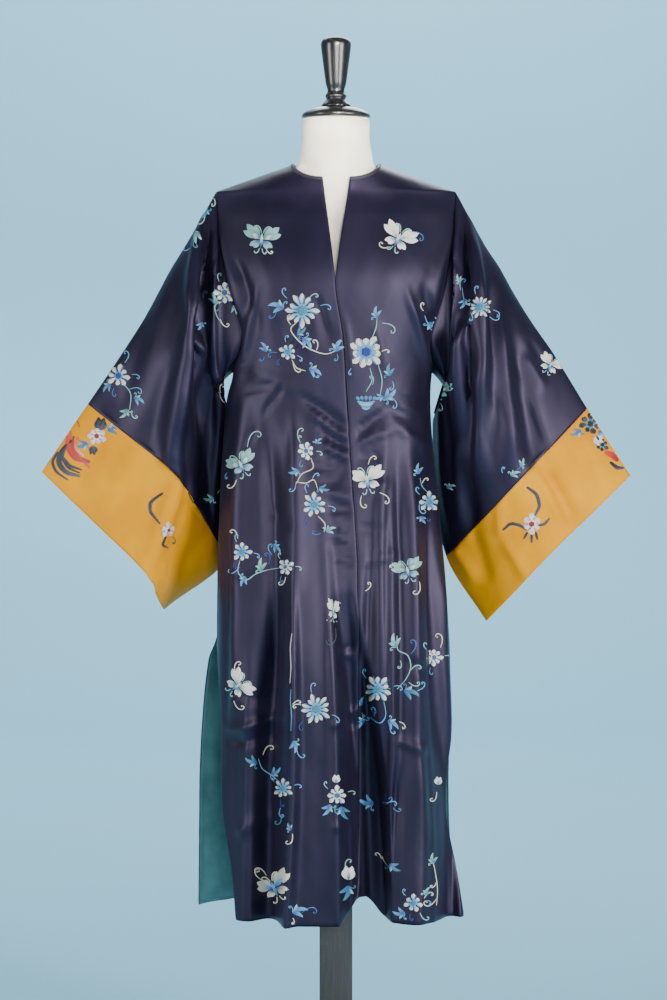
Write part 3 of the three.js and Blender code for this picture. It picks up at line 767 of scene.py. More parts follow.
# embroidery: every petal, leaf, wing and curl is a small padded patch of satin stitch, laid on the cloth
threads = {
    "cream": (228, 219, 188), "white": (240, 238, 226), "mint": (142, 190, 182), "teal": (62, 128, 146),
    "sky": (98, 160, 202), "blue": (42, 94, 166), "deep": (28, 54, 132), "ink": (8, 8, 20),
    "grey": (58, 64, 72), "coral": (232, 58, 22), "red": (150, 12, 16), "lilac": (214, 204, 222),
    "straw": (206, 190, 136),
}
stitching = {
    "lift": 0.35, "pad": 0.8, "threadWidth": 0.5,
    "eye": (-4.1, 4500.0, 1104.6),      # the point that the layouts are drawn from: x, distance, z
}
tones = {
    # outer petals' tip and root, inner petals' tip and root, the middle, leaves' tip and root, stems
    "cream": ("cream", "sky", "sky", "blue", "teal", "sky", "deep", "cream"),
    "blue": ("cream", "cream", "sky", "blue", "deep", "sky", "blue", "mint"),
    "pale": ("white", "cream", "cream", "sky", "blue", "mint", "teal", "mint"),
    "teal": ("mint", "teal", "cream", "teal", "deep", "teal", "blue", "mint"),
    "night": ("ink", "grey", "teal", "grey", "ink", "ink", "grey", "ink"),
    "plum": ("lilac", "white", "white", "lilac", "red", "ink", "grey", "ink"),
}


def weave(shader, base, light, worn, fine, coarse, gloss, height):
    # colour, roughness and relief of a woven silk, from the cloth's own measure in metres
    place = shader.uv()
    u, v, _ = shader.split(place)
    stretched = shader.join(u * fine, v * fine * 0.06, 0.0)
    thread = shader.noise(stretched, 1.0, 2.0, 0.6)
    patches = shader.noise(place, coarse, 3.0, 0.55)
    slub = shader.noise(shader.join(u * 60.0, v * 900.0, 2.0), 1.0, 2.0)
    tone = shader.blendColour(patches.limit(0.35, 0.7), linear(*base), linear(*light))
    tone = shader.blendColour(slub.limit(0.62, 0.8) * 0.25, tone, linear(*worn))
    shader.set(Base_Color=tone, Roughness=gloss + (patches - 0.5) * 0.12 + (thread - 0.5) * 0.06)
    relief = thread * 0.7 + slub * 0.3
    shader.set(Normal=shader.bump(relief, height, 0.35))


def satin(name, base, light, worn, gloss, sheen, tint, shine=0.55):
    shader = Shader(name)
    weave(shader, base, light, worn, 2600.0, 9.0, gloss, 0.00012)
    shader.set(Anisotropic=0.35, Sheen_Weight=sheen, Sheen_Roughness=0.35, Sheen_Tint=(*linear(*tint), 1))
    shader.set(Specular_IOR_Level=shine, Specular_Tint=(*linear(*tint), 1))
    return shader.material


def liningSilk():
    shader = Shader("tealLining")
    weave(shader, (74, 126, 130), (100, 152, 154), (140, 184, 184), 1700.0, 14.0, 0.5, 0.0001)
    shader.set(Sheen_Weight=0.12, Sheen_Roughness=0.4, Specular_IOR_Level=0.4)
    return shader.material


def bindingCloth():
    shader = Shader("darkBinding")
    weave(shader, (14, 13, 20), (30, 29, 40), (52, 50, 62), 1500.0, 30.0, 0.6, 0.0001)
    shader.set(Sheen_Weight=0.1)
    return shader.material


def embroideryThread():
    # strands lie side by side along each patch; the paint is the thread's own colour
    shader = Shader("silkThread")
    paint = shader.node("ShaderNodeAttribute", {"attribute_name": "thread"})
    u, v, _ = shader.split(shader.uv("stitch"))
    strands = (u * (2 * math.pi / stitching["threadWidth"])).sine() * 0.5 + 0.5
    cell = shader.join(u * 2.2, v * 0.35, 0.0)
    mottle = shader.noise(cell, 1.0, 2.0)
    # darker towards dark blue where the strands dip: painted shade in the grooves between strands, plus random mottle
    # in the thread
    grooveShadeAndMottle = shader.blendColour((1 - strands) * 0.3 + (mottle - 0.5) * 0.3, paint, (0.03, 0.05, 0.1))
    shader.set(Base_Color=grooveShadeAndMottle, Roughness=0.42 + (mottle - 0.5) * 0.1)
    shader.set(Normal=shader.bump(strands, 0.00018, 0.5), Sheen_Weight=0.25, Sheen_Roughness=0.3)
    return shader.material


def jersey():
    # cotton jersey: rows of small loops, faintly soiled here and there, and painted shade in a band at the top of the
    # neck just under the cap
    shader = Shader("formJersey")
    place = shader.place()
    x, y, z = shader.split(place)
    rows = (z * 5200.0).sine() * ((x + y) * 4300.0).sine()
    soil = shader.noise(place, 16.0, 4.0, 0.6)
    tone = shader.blendColour(soil.limit(0.35, 0.75), linear(255, 247, 228), linear(247, 235, 212))
    # painted shade: the neck turns darker in a band just under the cap
    tone = shader.blendColour(z.limit(1.545, 1.563) * 0.35, tone, linear(196, 178, 152))
    shader.set(Base_Color=tone, Roughness=0.82 + (soil - 0.5) * 0.1)
    shader.set(Normal=shader.bump(rows * 0.5 + soil, 0.00025, 0.4), Sheen_Weight=0.2, Sheen_Roughness=0.5)
    return shader.material


def lacquer(name, base, light, gloss, grainScale, wear):
    # black finish over turned or planed wood: grain that runs up it, and rubbed patches
    shader = Shader(name)
    place = shader.place()
    x, y, z = shader.split(place)
    grain = shader.noise(shader.join(x * 240.0, y * 240.0, z * 14.0), grainScale, 3.0, 0.6)
    rubbed = shader.noise(place, 22.0, 4.0, 0.65)
    tone = shader.blendColour(grain.limit(0.4, 0.75) * 0.6, linear(*base), linear(*light))
    tone = shader.blendColour(rubbed.limit(0.6, 0.8) * wear, tone, linear(92, 84, 74))
    shader.set(Base_Color=tone, Roughness=gloss + (rubbed - 0.5) * 0.22)
    shader.set(Normal=shader.bump(grain + rubbed * 0.3, 0.0002, 0.25), Coat_Weight=0.35, Coat_Roughness=0.18)
    return shader.material


def paper():
    shader = Shader("palePaper")
    place = shader.place()
    cloudy = shader.noise(place, 0.7, 2.0)
    tone = shader.blendColour(cloudy, linear(*stageTone["low"]), linear(*stageTone["high"]))
    shader.set(Base_Color=tone, Roughness=0.95, Specular_IOR_Level=0.1)
    return shader.material


stageTone = {"low": (140, 200, 224), "high": (154, 210, 232)}
silk = satin("navySilk", (16, 13, 29), (22, 19, 39), (45, 41, 66), 0.45, 0.05, (200, 186, 224))
gold = satin("goldSilk", (214, 138, 4), (228, 154, 8), (240, 176, 40), 0.46, 0.0, (255, 190, 70), 0.24)
# the cuffs' inner walls: a dark brown copy of the gold, painted shade for the inside of the cuff seen in shadow
paintedCuffShade = satin("cuffPaintedShade", (58, 44, 30), (74, 58, 40), (96, 80, 60), 0.6, 0.05, (200, 180, 150))
teal = liningSilk()
dark = bindingCloth()
thread = embroideryThread()
cream = jersey()
black = lacquer("blackWood", (14, 15, 15), (30, 31, 30), 0.3, 1.0, 0.12)
columnPaint = lacquer("blackColumn", (34, 33, 31), (56, 54, 50), 0.42, 1.6, 0.3)
print("materials made")


# the robe's pieces
clothCuts = {
    # flat width and length that each piece is cut to, and its area, in metres
    "frontLeft": (0.30, 1.235, 0.357), "frontRight": (0.24, 1.235, 0.271),
    "backLeft": (0.29, 1.23, 0.306), "backRight": (0.27, 1.23, 0.284),
    "sleeveLeft": (0.52, 0.42, 0.213), "sleeveRight": (0.54, 0.43, 0.230),
    "cuffLeft": (0.64, 0.175, 0.111), "cuffRight": (0.62, 0.15, 0.092),
    "liningLeft": (0.27, 0.46, 0.121), "liningRight": (0.24, 0.46, 0.107),
}


def seamKeep(rows, columns, margin, sides):
    # 0 on the named edges of a grid, 1 a few steps inside them
    i = np.arange(rows)[:, None]
    j = np.arange(columns)[None, :]
    keep = np.ones((rows, columns))
    distances = {"hem": i, "top": rows - 1 - i, "inner": j, "outer": columns - 1 - j}
    for side in sides:
        keep = keep * smoothstep(distances[side] + 0.0 * keep, 0, margin)
    return keep


def panelSurface(side, face):
    turn, z = panelGrid(side, face)
    points, outward = bodySurface(turn, z, face)
    rows, columns = z.shape
    keep = seamKeep(rows, columns, 6, ["top", "inner"] if face == "back" else ["top"])
    keep = keep * np.where(z[:, -1:] > robe["ventZ"], seamKeep(rows, columns, 6, ["outer"]), 1)
    faceSign = 1 if face == "front" else -1
    seed = {"frontleft": 3, "frontright": 11, "backleft": 19, "backright": 27}[face + side]
    points = creased(points, outward, creases[face], faceSign, seed, unevenness["body"], keep)
    return points, normalsOf(points, outward, False)


def makePanel(side, face):
    points, normals = panelSurface(side, face)
    # the wall rolls over a little at the closure and the hem, as a turned edge does
    rows, columns = points.shape[:2]
    edge = np.minimum(np.arange(rows)[:, None] * 4.0, 30) + 0.0 * points[..., 0]
    edge = np.minimum(edge, np.arange(columns)[None, :] * 2.6)
    roll = 0.9 * np.clip(1 - edge / 3.5, 0, 1) ** 2
    return shell(f"{face}{side.capitalize()}", points - normals * roll[..., None], normals, robe["wall"], False,
                 [silk, teal])


def makeSleeve(side, name, start, end, steps, materials):
    at = np.linspace(start, end, steps + 1)[:, None]
    around = (np.arange(sleeveSteps["around"]) / sleeveSteps["around"])[None, :]
    points = sleeveSurface(side, at, around)
    outward = normalsOf(points, sleeveOutward(side, at, around), True)
    keep = smoothstep(np.abs(at - robe["cuffSeam"]) * 400 + 0.0 * around, 0, 6) * smoothstep(at * 400, 0, 8)
    cap = side.capitalize()
    isCuff = name == "cuff"
    amount = unevenness[name]
    seed = 40 + 7 * isCuff + (side == "left")
    front = np.broadcast_to(around <= 0.5, keep.shape)
    turned = creased(points, outward, creases[name + cap], 1, seed, amount, keep * front)
    behind = creases["cuffBack" if isCuff else "sleeveBack"]
    turned = creased(turned, outward, behind, -1, seed + 3, amount, keep * ~front)
    normals = normalsOf(turned, outward, True)
    return shell(name + cap, turned, normals, robe["wall"], True, materials)


def makeLining(side):
    # hangs just inside the back's skirt and stops a little inside its edges
    points, normals = panelSurface(side, "back")
    count = rowSteps["skirt"] - 1
    inside = 2.0 + 0.9 * seamKeep(count, points.shape[1] - 2, 10, ["hem", "outer"])
    points = points[1:count + 1, 1:-1]
    normals = normals[1:count + 1, 1:-1]
    x, z = points[..., 0], points[..., 2]
    slack = np.clip(ripples(x, z, 61 + (side == "left"), *waves["slack"]), -1.6, 1.2)
    slack += 1.6 * np.exp(-(((z - 560) - 1.1 * (x + 205)) / 7) ** 2) * (side == "left")
    loose = 0.9 * (1.6 - slack) * seamKeep(count, x.shape[1], 8, ["outer", "hem"])
    points = points - normals * (inside + loose)[..., None]
    return shell("lining" + side.capitalize(), points, normalsOf(points, normals, False), 0.7, False, [teal, teal])


pieces = {}
for side in ("left", "right"):
    cap = side.capitalize()
    pieces["front" + cap] = makePanel(side, "front")
    pieces["back" + cap] = makePanel(side, "back")
    pieces["sleeve" + cap] = makeSleeve(side, "sleeve", 0, robe["cuffSeam"], sleeveSteps["sleeve"], [silk, silk])
    pieces["cuff" + cap] = makeSleeve(side, "cuff", robe["cuffSeam"], robe["cuffEnd"], sleeveSteps["cuff"],
                                      [gold, paintedCuffShade])
    pieces["lining" + cap] = makeLining(side)
for name, (width, length, area) in clothCuts.items():
    kind = name.replace("Left", "").replace("Right", "")
    side = "left" if name.endswith("Left") else "right"
    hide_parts(f"{kind}_{side}")
print("robe: panels, sleeves, cuffs and linings made")


# the neck's binding
binding = {"width": 5.0, "wall": 1.4, "lift": 1.2, "steps": 26}


def makeBinding():
    # follows the neckline from slit to slit round the back, rolled over the cloth's edge
    steps = binding["steps"]
    slope = math.atan2(robe["neckZ"] - robe["shoulderZ"], 195.5 - robe["neckHalf"])

    def quarter(fromX, fromZ):
        sweep = neckSweep(np.linspace(0, 1, steps + 1))
        down = math.pi / 2 - sweep * (1 - slope / (math.pi / 2))
        x = lerp(fromX, robe["neckHalf"], np.sin(sweep))
        z = lerp(fromZ, robe["neckZ"], 1 - np.cos(sweep))
        return np.stack([x, z, np.cos(down), np.sin(down)], axis=-1)

    front = quarter(robe["slitTopHalf"] + 0.4, robe["slitTopZ"])
    back = quarter(0, robe["neckZ"] - robe["backNeckDrop"])[::-1][1:]
    half = [(*row, "front") for row in front] + [(*row, "back") for row in back]
    path = [(row, -1) for row in half] + [(row, 1) for row in half[:-1][::-1]]
    across = np.linspace(-0.14, 1, 6)
    points = np.zeros((len(across), len(path), 3))
    outwards = np.zeros_like(points)
    for j, ((x, z, spread, drop, face), mirror) in enumerate(path):
        below = across * binding["width"]
        level = z - below * drop
        spot, outward = bodySurface(turnAt(mirror * (x + below * spread), level, face), level, face)
        bulge = binding["lift"] + 0.7 * np.sqrt(np.clip(1 - (2 * np.clip(across, 0, 1) - 1) ** 2, 0, 1))
        points[:, j] = spot + outward * bulge[:, None]
        outwards[:, j] = outward
    piece = shell("neckBinding", points, normalsOf(points, outwards, False), binding["wall"], False, [dark, dark])
    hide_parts("neck_binding")


makeBinding()
print("neck binding made")


# the form and its stand
form = table("z half front back power", [
    [770, 146, -84, 96, 2.3],
    [800, 156, -90, 106, 2.3],
    [880, 156, -94, 106, 2.3],
    [960, 142, -90, 94, 2.2],
    [1060, 118, -82, 76, 2.1],
    [1150, 128, -90, 82, 2.2],
    [1230, 140, -102, 90, 2.2],
    [1290, 146, -108, 94, 2.2],
    [1350, 156, -94, 96, 2.1],
    [1400, 172, -74, 88, 1.8],
    [1445, 183, -60, 72, 1.5],
    [1452, 168, -59, 70, 1.48],
    [1463, 134, -57, 65, 1.48],
    [1473, 103, -56, 61, 1.5],
    [1486, 63, -56, 56, 1.6],
    [1500, 59.5, -55.5, 56, 1.8],
    [1513, 57.5, -55, 56, 2],
    [1530, 54.5, -54.5, 54.5, 2],
    [1563, 55, -55, 55, 2],
])
stand = {
    "formTurns": 120, "formRows": 150, "rimRound": 3.0, "lathe": 96,
    "columnHalf": 27.0, "columnTop": 769.7, "columnFoot": 20.3, "columnBevel": 2.5,
}


def closedLoft(name, rings, materials):
    # rings of points, capped at both ends
    count, turns = rings.shape[:2]
    vertices = np.concatenate([rings.reshape(-1, 3), rings[0].mean(0)[None], rings[-1].mean(0)[None]])
    faces = gridFaces(count, turns, True).tolist()
    low, high = count * turns, count * turns + 1
    last = (count - 1) * turns
    faces += [(low, (j + 1) % turns, j) for j in range(turns)]
    faces += [(high, last + j, last + (j + 1) % turns) for j in range(turns)]
    mesh = bpy.data.meshes.new(name)
    mesh.from_pydata((vertices * mm).tolist(), [], faces)
    smooth(mesh)
    work = bmesh.new()
    work.from_mesh(mesh)
    bmesh.ops.recalc_face_normals(work, faces=work.faces)
    work.to_mesh(mesh)
    work.free()
    return link(name, mesh, materials)


def makeForm():
    z = np.linspace(form["z"][0], form["z"][-1], stand["formRows"])
    angle = np.linspace(0, 2 * math.pi, stand["formTurns"], endpoint=False)[None, :]
    half, front, back, power = (read(form, "z", key, z)[:, None] for key in ("half", "front", "back", "power"))
    s, c = np.sin(angle), np.cos(angle)
    depth = np.where(c < 0, -front, back)
    side = np.where(z < 1500, 2 * (1 - smoothstep(z, 1480, 1500)), 0)[:, None]
    x = half * np.sign(s) * np.abs(s) ** (2 / power)
    y = depth * np.sign(c) * np.abs(c) ** (2 / power) + side
    # the jersey's edge is drawn in and tacked under the cap
    tuck = smoothstep(z, 1560.5, 1563)[:, None] * 1.5
    pleats = smoothstep(z, 1550, 1562)[:, None] * 0.35 * np.sin(angle * 36) * (0.6 + 0.4 * np.sin(angle * 5 + 1))
    scale = 1 - (tuck - pleats) / 55
    rings = np.stack([x * scale, y * scale, z[:, None] + 0 * x], axis=-1)
    piece = closedLoft("formTorso", rings, [cream])
    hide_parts("form_torso")


def relaxed(points, times):
    # each point is drawn towards its neighbours, and the ends are held
    points = points.copy()
    for _ in range(times):
        points[1:-1] = (points[:-2] + 2 * points[1:-1] + points[2:]) / 4
    return points


def makeTurning(name, node, profile, material):
    # a lathe-turned piece: radius and height of its profile, smoothed between its corners
    profile = np.array(profile, float)
    fine = [profile[0]]
    for a, b in zip(profile[:-1], profile[1:]):
        steps = max(1, int(np.linalg.norm(b - a) / 1.6))
        fine += [lerp(a, b, (k + 1) / steps) for k in range(steps)]
    soft = relaxed(np.array(fine), 3)
    angle = np.linspace(0, 2 * math.pi, stand["lathe"], endpoint=False)
    radius, z = soft[:, 0][:, None], soft[:, 1][:, None]
    rings = np.stack([radius * np.cos(angle), radius * np.sin(angle), z + 0 * angle], axis=-1)
    piece = closedLoft(name, rings, [material])
    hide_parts(node)


capFoot, capTop = 1563.3, 1582.0
capProfile = [
    (20, capFoot), (54, capFoot), (56.6, capFoot + 1.5), (57, capFoot + 4), (56.2, capFoot + 7), (52, capFoot + 10.2),
    (47, capTop - 5.5), (40, capTop - 3), (34, capTop - 1.5), (26, capTop), (8, capTop),
]
finialFoot = 1582.3
finialProfile = [
    (6, 0), (24.6, 0), (25, 1.4), (24.5, 3), (21, 6.4), (18, 10), (15.2, 12.6), (14.5, 14), (16.6, 15), (18, 16.6),
    (18.2, 18.4), (17.5, 20), (15, 22), (13.5, 24), (13.4, 26.4), (13.8, 29), (16.5, 36), (19.4, 56), (22, 76),
    (24.2, 93), (25, 100), (24.9, 103.4), (24.5, 106), (22.6, 109.2), (20, 111), (15.4, 112.7), (4, 112.7),
]
finialProfile = [(radius, finialFoot + height) for radius, height in finialProfile]
baseProfile = [(10, 0), (218, 0), (220, 2), (220, 12), (219, 14.4), (214, 19), (211, 20), (40, 20), (10, 20)]


def makeColumn():
    half, bevel = stand["columnHalf"], stand["columnBevel"]
    corners = []
    for k in range(4):
        middle = math.pi / 4 + k * math.pi / 2
        reach = half - bevel
        centre = np.array([math.copysign(reach, math.cos(middle)), math.copysign(reach, math.sin(middle))])
        for step in np.linspace(-math.pi / 4, math.pi / 4, 5):
            corners.append(centre + bevel * np.array([math.cos(middle + step), math.sin(middle + step)]))
    corners = np.array(corners)
    foot, top = stand["columnFoot"], stand["columnTop"]
    levels = np.concatenate([[foot], np.linspace(foot + 1, top - 1, 60), [top]])
    inset = np.where((levels == foot) | (levels == top), 1 - 1 / half, 1)[:, None]
    rings = np.stack([corners[None, :, 0] * inset, corners[None, :, 1] * inset,
                      levels[:, None] + 0 * corners[None, :, 0]], axis=-1)
    piece = closedLoft("column", rings, [columnPaint])
    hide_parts("column")


makeForm()
makeTurning("neckCap", "neck_cap", capProfile, black)
makeTurning("finialTurning", "finial", finialProfile, black)
makeTurning("roundBase", "base", baseProfile, columnPaint)
makeColumn()
print("form and stand made")


def offset(x, z, angle, distance):
    # the point that lies along a heading, in degrees clockwise from straight up
    return x + distance * math.sin(math.radians(angle)), z + distance * math.cos(math.radians(angle))


class Stitches:
    # gathers patches as flat points (x, z), with a height over the cloth, a colour and a thread place
    def __init__(self):
        self.points, self.heights, self.colours, self.places, self.faces = [], [], [], [], []
        self.knots = []
        self.count = 0

    def patch(self, flat, height, colour, place):
        rows, columns = flat.shape[:2]
        self.points.append(flat.reshape(-1, 2))
        self.heights.append(height.reshape(-1))
        self.colours.append(colour.reshape(-1, 3))
        self.places.append(place.reshape(-1, 2))
        self.faces.append(gridFaces(rows, columns, False, self.count))
        self.count += rows * columns

    def petal(self, x, z, angle, length, width, root, tip, blunt=0.5, bend=0.0, over=0.0):
        # angle is degrees from straight up, clockwise; blunt moves the widest place towards the tip
        t = np.linspace(0, 1, 8)[:, None]
        s = np.linspace(-1, 1, 5)[None, :]
        reach = np.sin(math.pi * t ** (0.5 + blunt)) ** 0.7
        half = width / 2 * np.clip(reach, 0.06, 1)
        heading = np.radians(angle + bend * (t - 0.3))
        step = length / 7
        midX = x + np.concatenate([[0], np.cumsum(np.sin(heading[:-1, 0]) * step)])[:, None]
        midZ = z + np.concatenate([[0], np.cumsum(np.cos(heading[:-1, 0]) * step)])[:, None]
        flat = np.stack([midX + s * half * np.cos(heading), midZ - s * half * np.sin(heading)], axis=-1)
        pad = stitching["pad"] * np.sqrt(np.clip(1 - s ** 2, 0, 1)) * np.clip(half, 0, 1.6) / 1.6
        blend = smoothstep(t + 0 * s, 0.15, 0.75)[..., None]
        colour = lerp(np.array(linear(*threads[root])), np.array(linear(*threads[tip])), blend)
        place = np.stack(np.broadcast_arrays(s * half, t * length), axis=-1)
        self.patch(flat, stitching["lift"] + over + pad, colour, place)

    def strip(self, path, width, colour, over=0.0, tip=None):
        # a stem or curl along a path of points, thickest a third of the way and pointed at its end
        path = np.array(path, float)
        count = len(path)
        t = np.linspace(0, 1, count)[:, None]
        s = np.linspace(-1, 1, 3)[None, :]
        along = unit(np.gradient(path, axis=0))
        square = np.stack([-along[:, 1], along[:, 0]], axis=-1)
        half = width / 2 * (0.45 + 0.55 * np.sin(math.pi * np.clip(t * 0.9 + 0.08, 0, 1)))
        flat = path[:, None, :] + square[:, None, :] * (s * half)[..., None]
        pad = stitching["pad"] * 0.8 * (1 - s ** 2) + 0 * t
        first = np.array(linear(*threads[colour]))
        last = np.array(linear(*threads[tip or colour]))
        tint = lerp(first, last, t[..., None] + 0 * s[..., None])
        length = np.concatenate([[0], np.cumsum(np.linalg.norm(np.diff(path, axis=0), axis=1))])[:, None]
        place = np.stack(np.broadcast_arrays(length, s * half), axis=-1)
        self.patch(flat, stitching["lift"] + over + pad, tint, place)

    def curl(self, x, z, angle, length, hand, colour, width=2.0, turns=0.8, tip=None):
        # runs out along angle and winds up to the side that hand (1 or -1) says
        steps = 18
        t = np.linspace(0, 1, steps)
        heading = math.radians(angle) + hand * 2 * math.pi * turns * t ** 2.2
        pace = length / steps * (1.25 - 0.85 * t)
        path = np.stack([x + np.cumsum(np.sin(heading) * pace), z + np.cumsum(np.cos(heading) * pace)], axis=-1)
        self.strip(path, width, colour, tip=tip)
        self.knots.append((*path[-1], width * 0.75, threads[tip or colour]))

    def stem(self, points, width, colour):
        # a smooth line through a few points
        points = np.array(points, float)
        t = np.linspace(0, len(points) - 1, 9 * (len(points) - 1) + 1)
        i = np.clip(t.astype(int), 0, len(points) - 2)
        f = (t - i)[:, None]
        slope = np.gradient(points, axis=0)
        self.strip(hermite(f, points[i], slope[i], points[i + 1], slope[i + 1]), width, colour)

    def leaf(self, x, z, angle, size, tone, hand=1):
        tip, root = tone[5], tone[6]
        self.petal(x, z, angle, size, size * 0.26, root, tip, 0.35, 70 * hand)
        self.petal(x, z, angle + 34 * hand, size * 0.7, size * 0.22, root, tip, 0.35, 60 * hand)
        self.petal(x, z, angle - 38 * hand, size * 0.6, size * 0.22, root, tone[7], 0.35, -50 * hand)
        self.curl(x, z, angle - 64 * hand, size * 0.8, -hand, tip, 1.5, 0.8)

    def flower(self, x, z, radius, tone, petals, turn, double=False):
        outerTip, outerRoot, innerTip, innerRoot, middle = tone[:5]
        start = radius * (0.34 if double else 0.26)
        width = 2 * math.pi * radius * (0.66 if double else 0.5) / petals
        for k in range(petals):
            angle = turn + 360 * k / petals + 5 * math.sin(3.1 * k)
            length = radius * (0.9 + 0.14 * math.sin(2.3 * k + x)) - start
            root = offset(x, z, angle, start)
            bend = (6 if double else 26) * math.sin(2.1 * k + 0.6)
            self.petal(*root, angle, length, width, outerRoot, outerTip, 0.95, bend)
            self.petal(*root, angle + 180 / petals, length * 0.9, width * 0.45, middle, innerRoot, 0.9,
                       8 * math.sin(k), -0.2)
        ring = max(5, petals - 2)
        inner = radius * (0.66 if double else 0.44)
        for k in range(ring):
            angle = turn + 17 + 360 * k / ring
            self.petal(x, z, angle, inner, 2 * math.pi * inner * 0.62 / ring, innerRoot, innerTip, 0.8, 0, 0.35)
        for k in range(7):
            spot = offset(x, z, 60 * k, 0 if k == 6 else radius * 0.15)
            self.knots.append((*spot, radius * 0.1 + 0.5, threads[middle]))

    def bud(self, x, z, angle, size, tone):
        for spread in (-34, 34, -14, 14):
            self.petal(x, z, angle + spread, size * (1.05 - abs(spread) / 90), size * 0.4, tone[1], tone[0], 0.7,
                       -spread * 0.6, 0.2 if abs(spread) < 20 else 0)
        self.petal(x, z, angle, size * 0.5, size * 0.34, tone[6], tone[5], 0.5, 0, 0.5)

    def butterfly(self, x, z, angle, size, tone, lean=1.0):
        outerTip, outerRoot, innerTip, innerRoot, middle, _, leafRoot, stem = tone
        upX, upZ = offset(0, 0, angle, 1)
        at = lambda right, up: (x + right * upZ + up * upX, z + up * upZ - right * upX)
        for sign in (-1, 1):
            share = 1.0 if sign > 0 else lean
            for spread, reach, width, over in ((52, 1.0, 0.36, 0), (74, 0.95, 0.34, 0.1), (33, 0.72, 0.28, 0.15)):
                self.petal(*at(sign * size * 0.05, size * 0.05), angle + sign * spread, size * reach * share,
                           size * width, outerRoot, outerTip, 0.9, -12 * sign, over)
            self.petal(*at(sign * size * 0.05, 0), angle + sign * 62, size * 0.5 * share, size * 0.26,
                       innerRoot, innerTip, 0.8, 0, 0.45)
            for spread, reach in ((118, 0.62), (140, 0.5)):
                self.petal(*at(sign * size * 0.04, -size * 0.06), angle + sign * spread, size * reach * share,
                           size * 0.27, leafRoot, outerTip, 0.85, 14 * sign)
            fine = size * 0.045 + 0.5
            self.curl(*at(sign * size * 0.03, size * 0.26), angle + sign * 16, size * 0.85, sign, stem, fine, 0.6)
            self.curl(*at(sign * size * 0.06, -size * 0.42), angle + 180 - sign * 12, size * 0.55, -sign, stem,
                      fine, 0.5)
        self.petal(*at(0, -size * 0.46), angle, size * 0.76, size * 0.15, middle, innerTip, 0.5, 0, 0.7)

    def scroll(self, x, z, angle, length, hand, tone):
        # a stem that bends one way and curls the other, with small leaves and a side curl
        stem, width = tone[7], 2.0
        bend = np.radians(angle + hand * 26 * np.sin(np.linspace(0, math.pi, 12)))
        pace = length / 12
        path = np.stack([x + np.cumsum(np.sin(bend)) * pace, z + np.cumsum(np.cos(bend)) * pace], axis=-1)
        self.strip(path, width, stem)
        self.curl(*path[-1], angle - hand * 20, length * 0.75, hand, stem, width, 0.85, tone[5])
        for k in range(2):
            spot = path[3 + 5 * k % 9]
            self.petal(*spot, angle + hand * (70 if k % 2 else -75), length * 0.36, length * 0.2, tone[6], tone[5],
                       0.4, 40 * hand)
        self.curl(*path[5], angle - hand * 62, length * 0.5, -hand, stem, width * 0.85, 0.8)

    def vase(self, x, z, size, tone):
        # a lotus pod seen from the side: a rim of short petals over a rounded cup
        for k in range(5):
            self.petal(x + (k - 2) * size * 0.2, z, (k - 2) * 16, size * 0.34, size * 0.22, tone[6], tone[5], 0.8)
        for k in range(4):
            level = z - size * 0.12 * (k + 0.6)
            half = size * (0.52 - 0.09 * k)
            self.stem([(x - half, level + 1), (x, level - 1.4), (x + half, level + 1)], size * 0.13,
                      ("sky", "mint", "teal", "sky")[k])


def castOn(stitches, piece, name, back):
    # lays the gathered patches on a piece of cloth along the lines of sight of the layout
    mesh = piece.data
    corners = np.zeros(len(mesh.vertices) * 3)
    mesh.vertices.foreach_get("co", corners)
    outside = [tuple(face.vertices) for face in mesh.polygons if face.material_index == 0]
    tree = BVHTree.FromPolygons([Vector(corner) for corner in corners.reshape(-1, 3) / mm], outside)
    eyeX, distance, eyeZ = stitching["eye"]
    eye = Vector((eyeX, distance if back else -distance, eyeZ))

    def land(x, z, height):
        direction = (Vector((x, 0, z)) - eye).normalized()
        spot, normal, _, _ = tree.ray_cast(eye, direction)
        return spot + normal * height if spot is not None and normal.dot(direction) < -0.12 else None

    flat, heights, colours, places, quads = (np.concatenate(part) for part in (
        stitches.points, stitches.heights, stitches.colours, stitches.places, stitches.faces))
    landed = np.zeros((len(flat), 3))
    found = np.zeros(len(flat), bool)
    for i, (x, z) in enumerate(flat):
        spot = land(x, z, heights[i])
        if spot is not None:
            landed[i] = spot
            found[i] = True
    size = np.linalg.norm(landed[quads[:, 0]] - landed[quads[:, 2]], axis=1)
    wanted = np.linalg.norm(flat[quads[:, 0]] - flat[quads[:, 2]], axis=1)
    whole = found[quads].all(axis=1) & (size < 4 * wanted + 3)
    quads = quads[whole] if back else quads[whole][:, ::-1]
    used, quads = np.unique(quads, return_inverse=True)
    quads = quads.reshape(-1, 4)
    made = bpy.data.meshes.new(name)
    made.from_pydata((landed[used] * mm).tolist(), [], quads.tolist())
    paint = made.color_attributes.new("thread", "FLOAT_COLOR", "POINT")
    paint.data.foreach_set("color", np.concatenate([colours[used], np.ones((len(used), 1))], axis=1).ravel())
    layer = made.uv_layers.new(name="stitch")
    layer.data.foreach_set("uv", places[used][quads.ravel()].ravel())
    smooth(made)
    if (np.cross(landed[used][quads[:, 1]] - landed[used][quads[:, 0]],
                 landed[used][quads[:, 3]] - landed[used][quads[:, 0]])[:, 1].sum() < 0) == back:
        made.flip_normals()
    sewn = link(name, made, [thread])
    knots = [(land(x, z, 0.8), radius, linear(*colour)) for x, z, radius, colour in stitches.knots]
    return sewn, [knot for knot in knots if knot[0] is not None]


# layouts: a motif is its kind, its place as column,row of the camera's 667 x 1000 frame, its turn in degrees
# clockwise from straight up, its size in millimetres, its hand (1 or -1) or count of petals, and its thread or
# tone; a stem or a plume is its kind, its path, its width and its threads. Places become millimetres on the plane
# through the column.
frameScale = {"column": 336.0, "row": 400.0, "height": 1104.6, "step": 1.64}


def placed(column, row):
    return (column - frameScale["column"]) * frameScale["step"], \
        frameScale["height"] - (row - frameScale["row"]) * frameScale["step"]


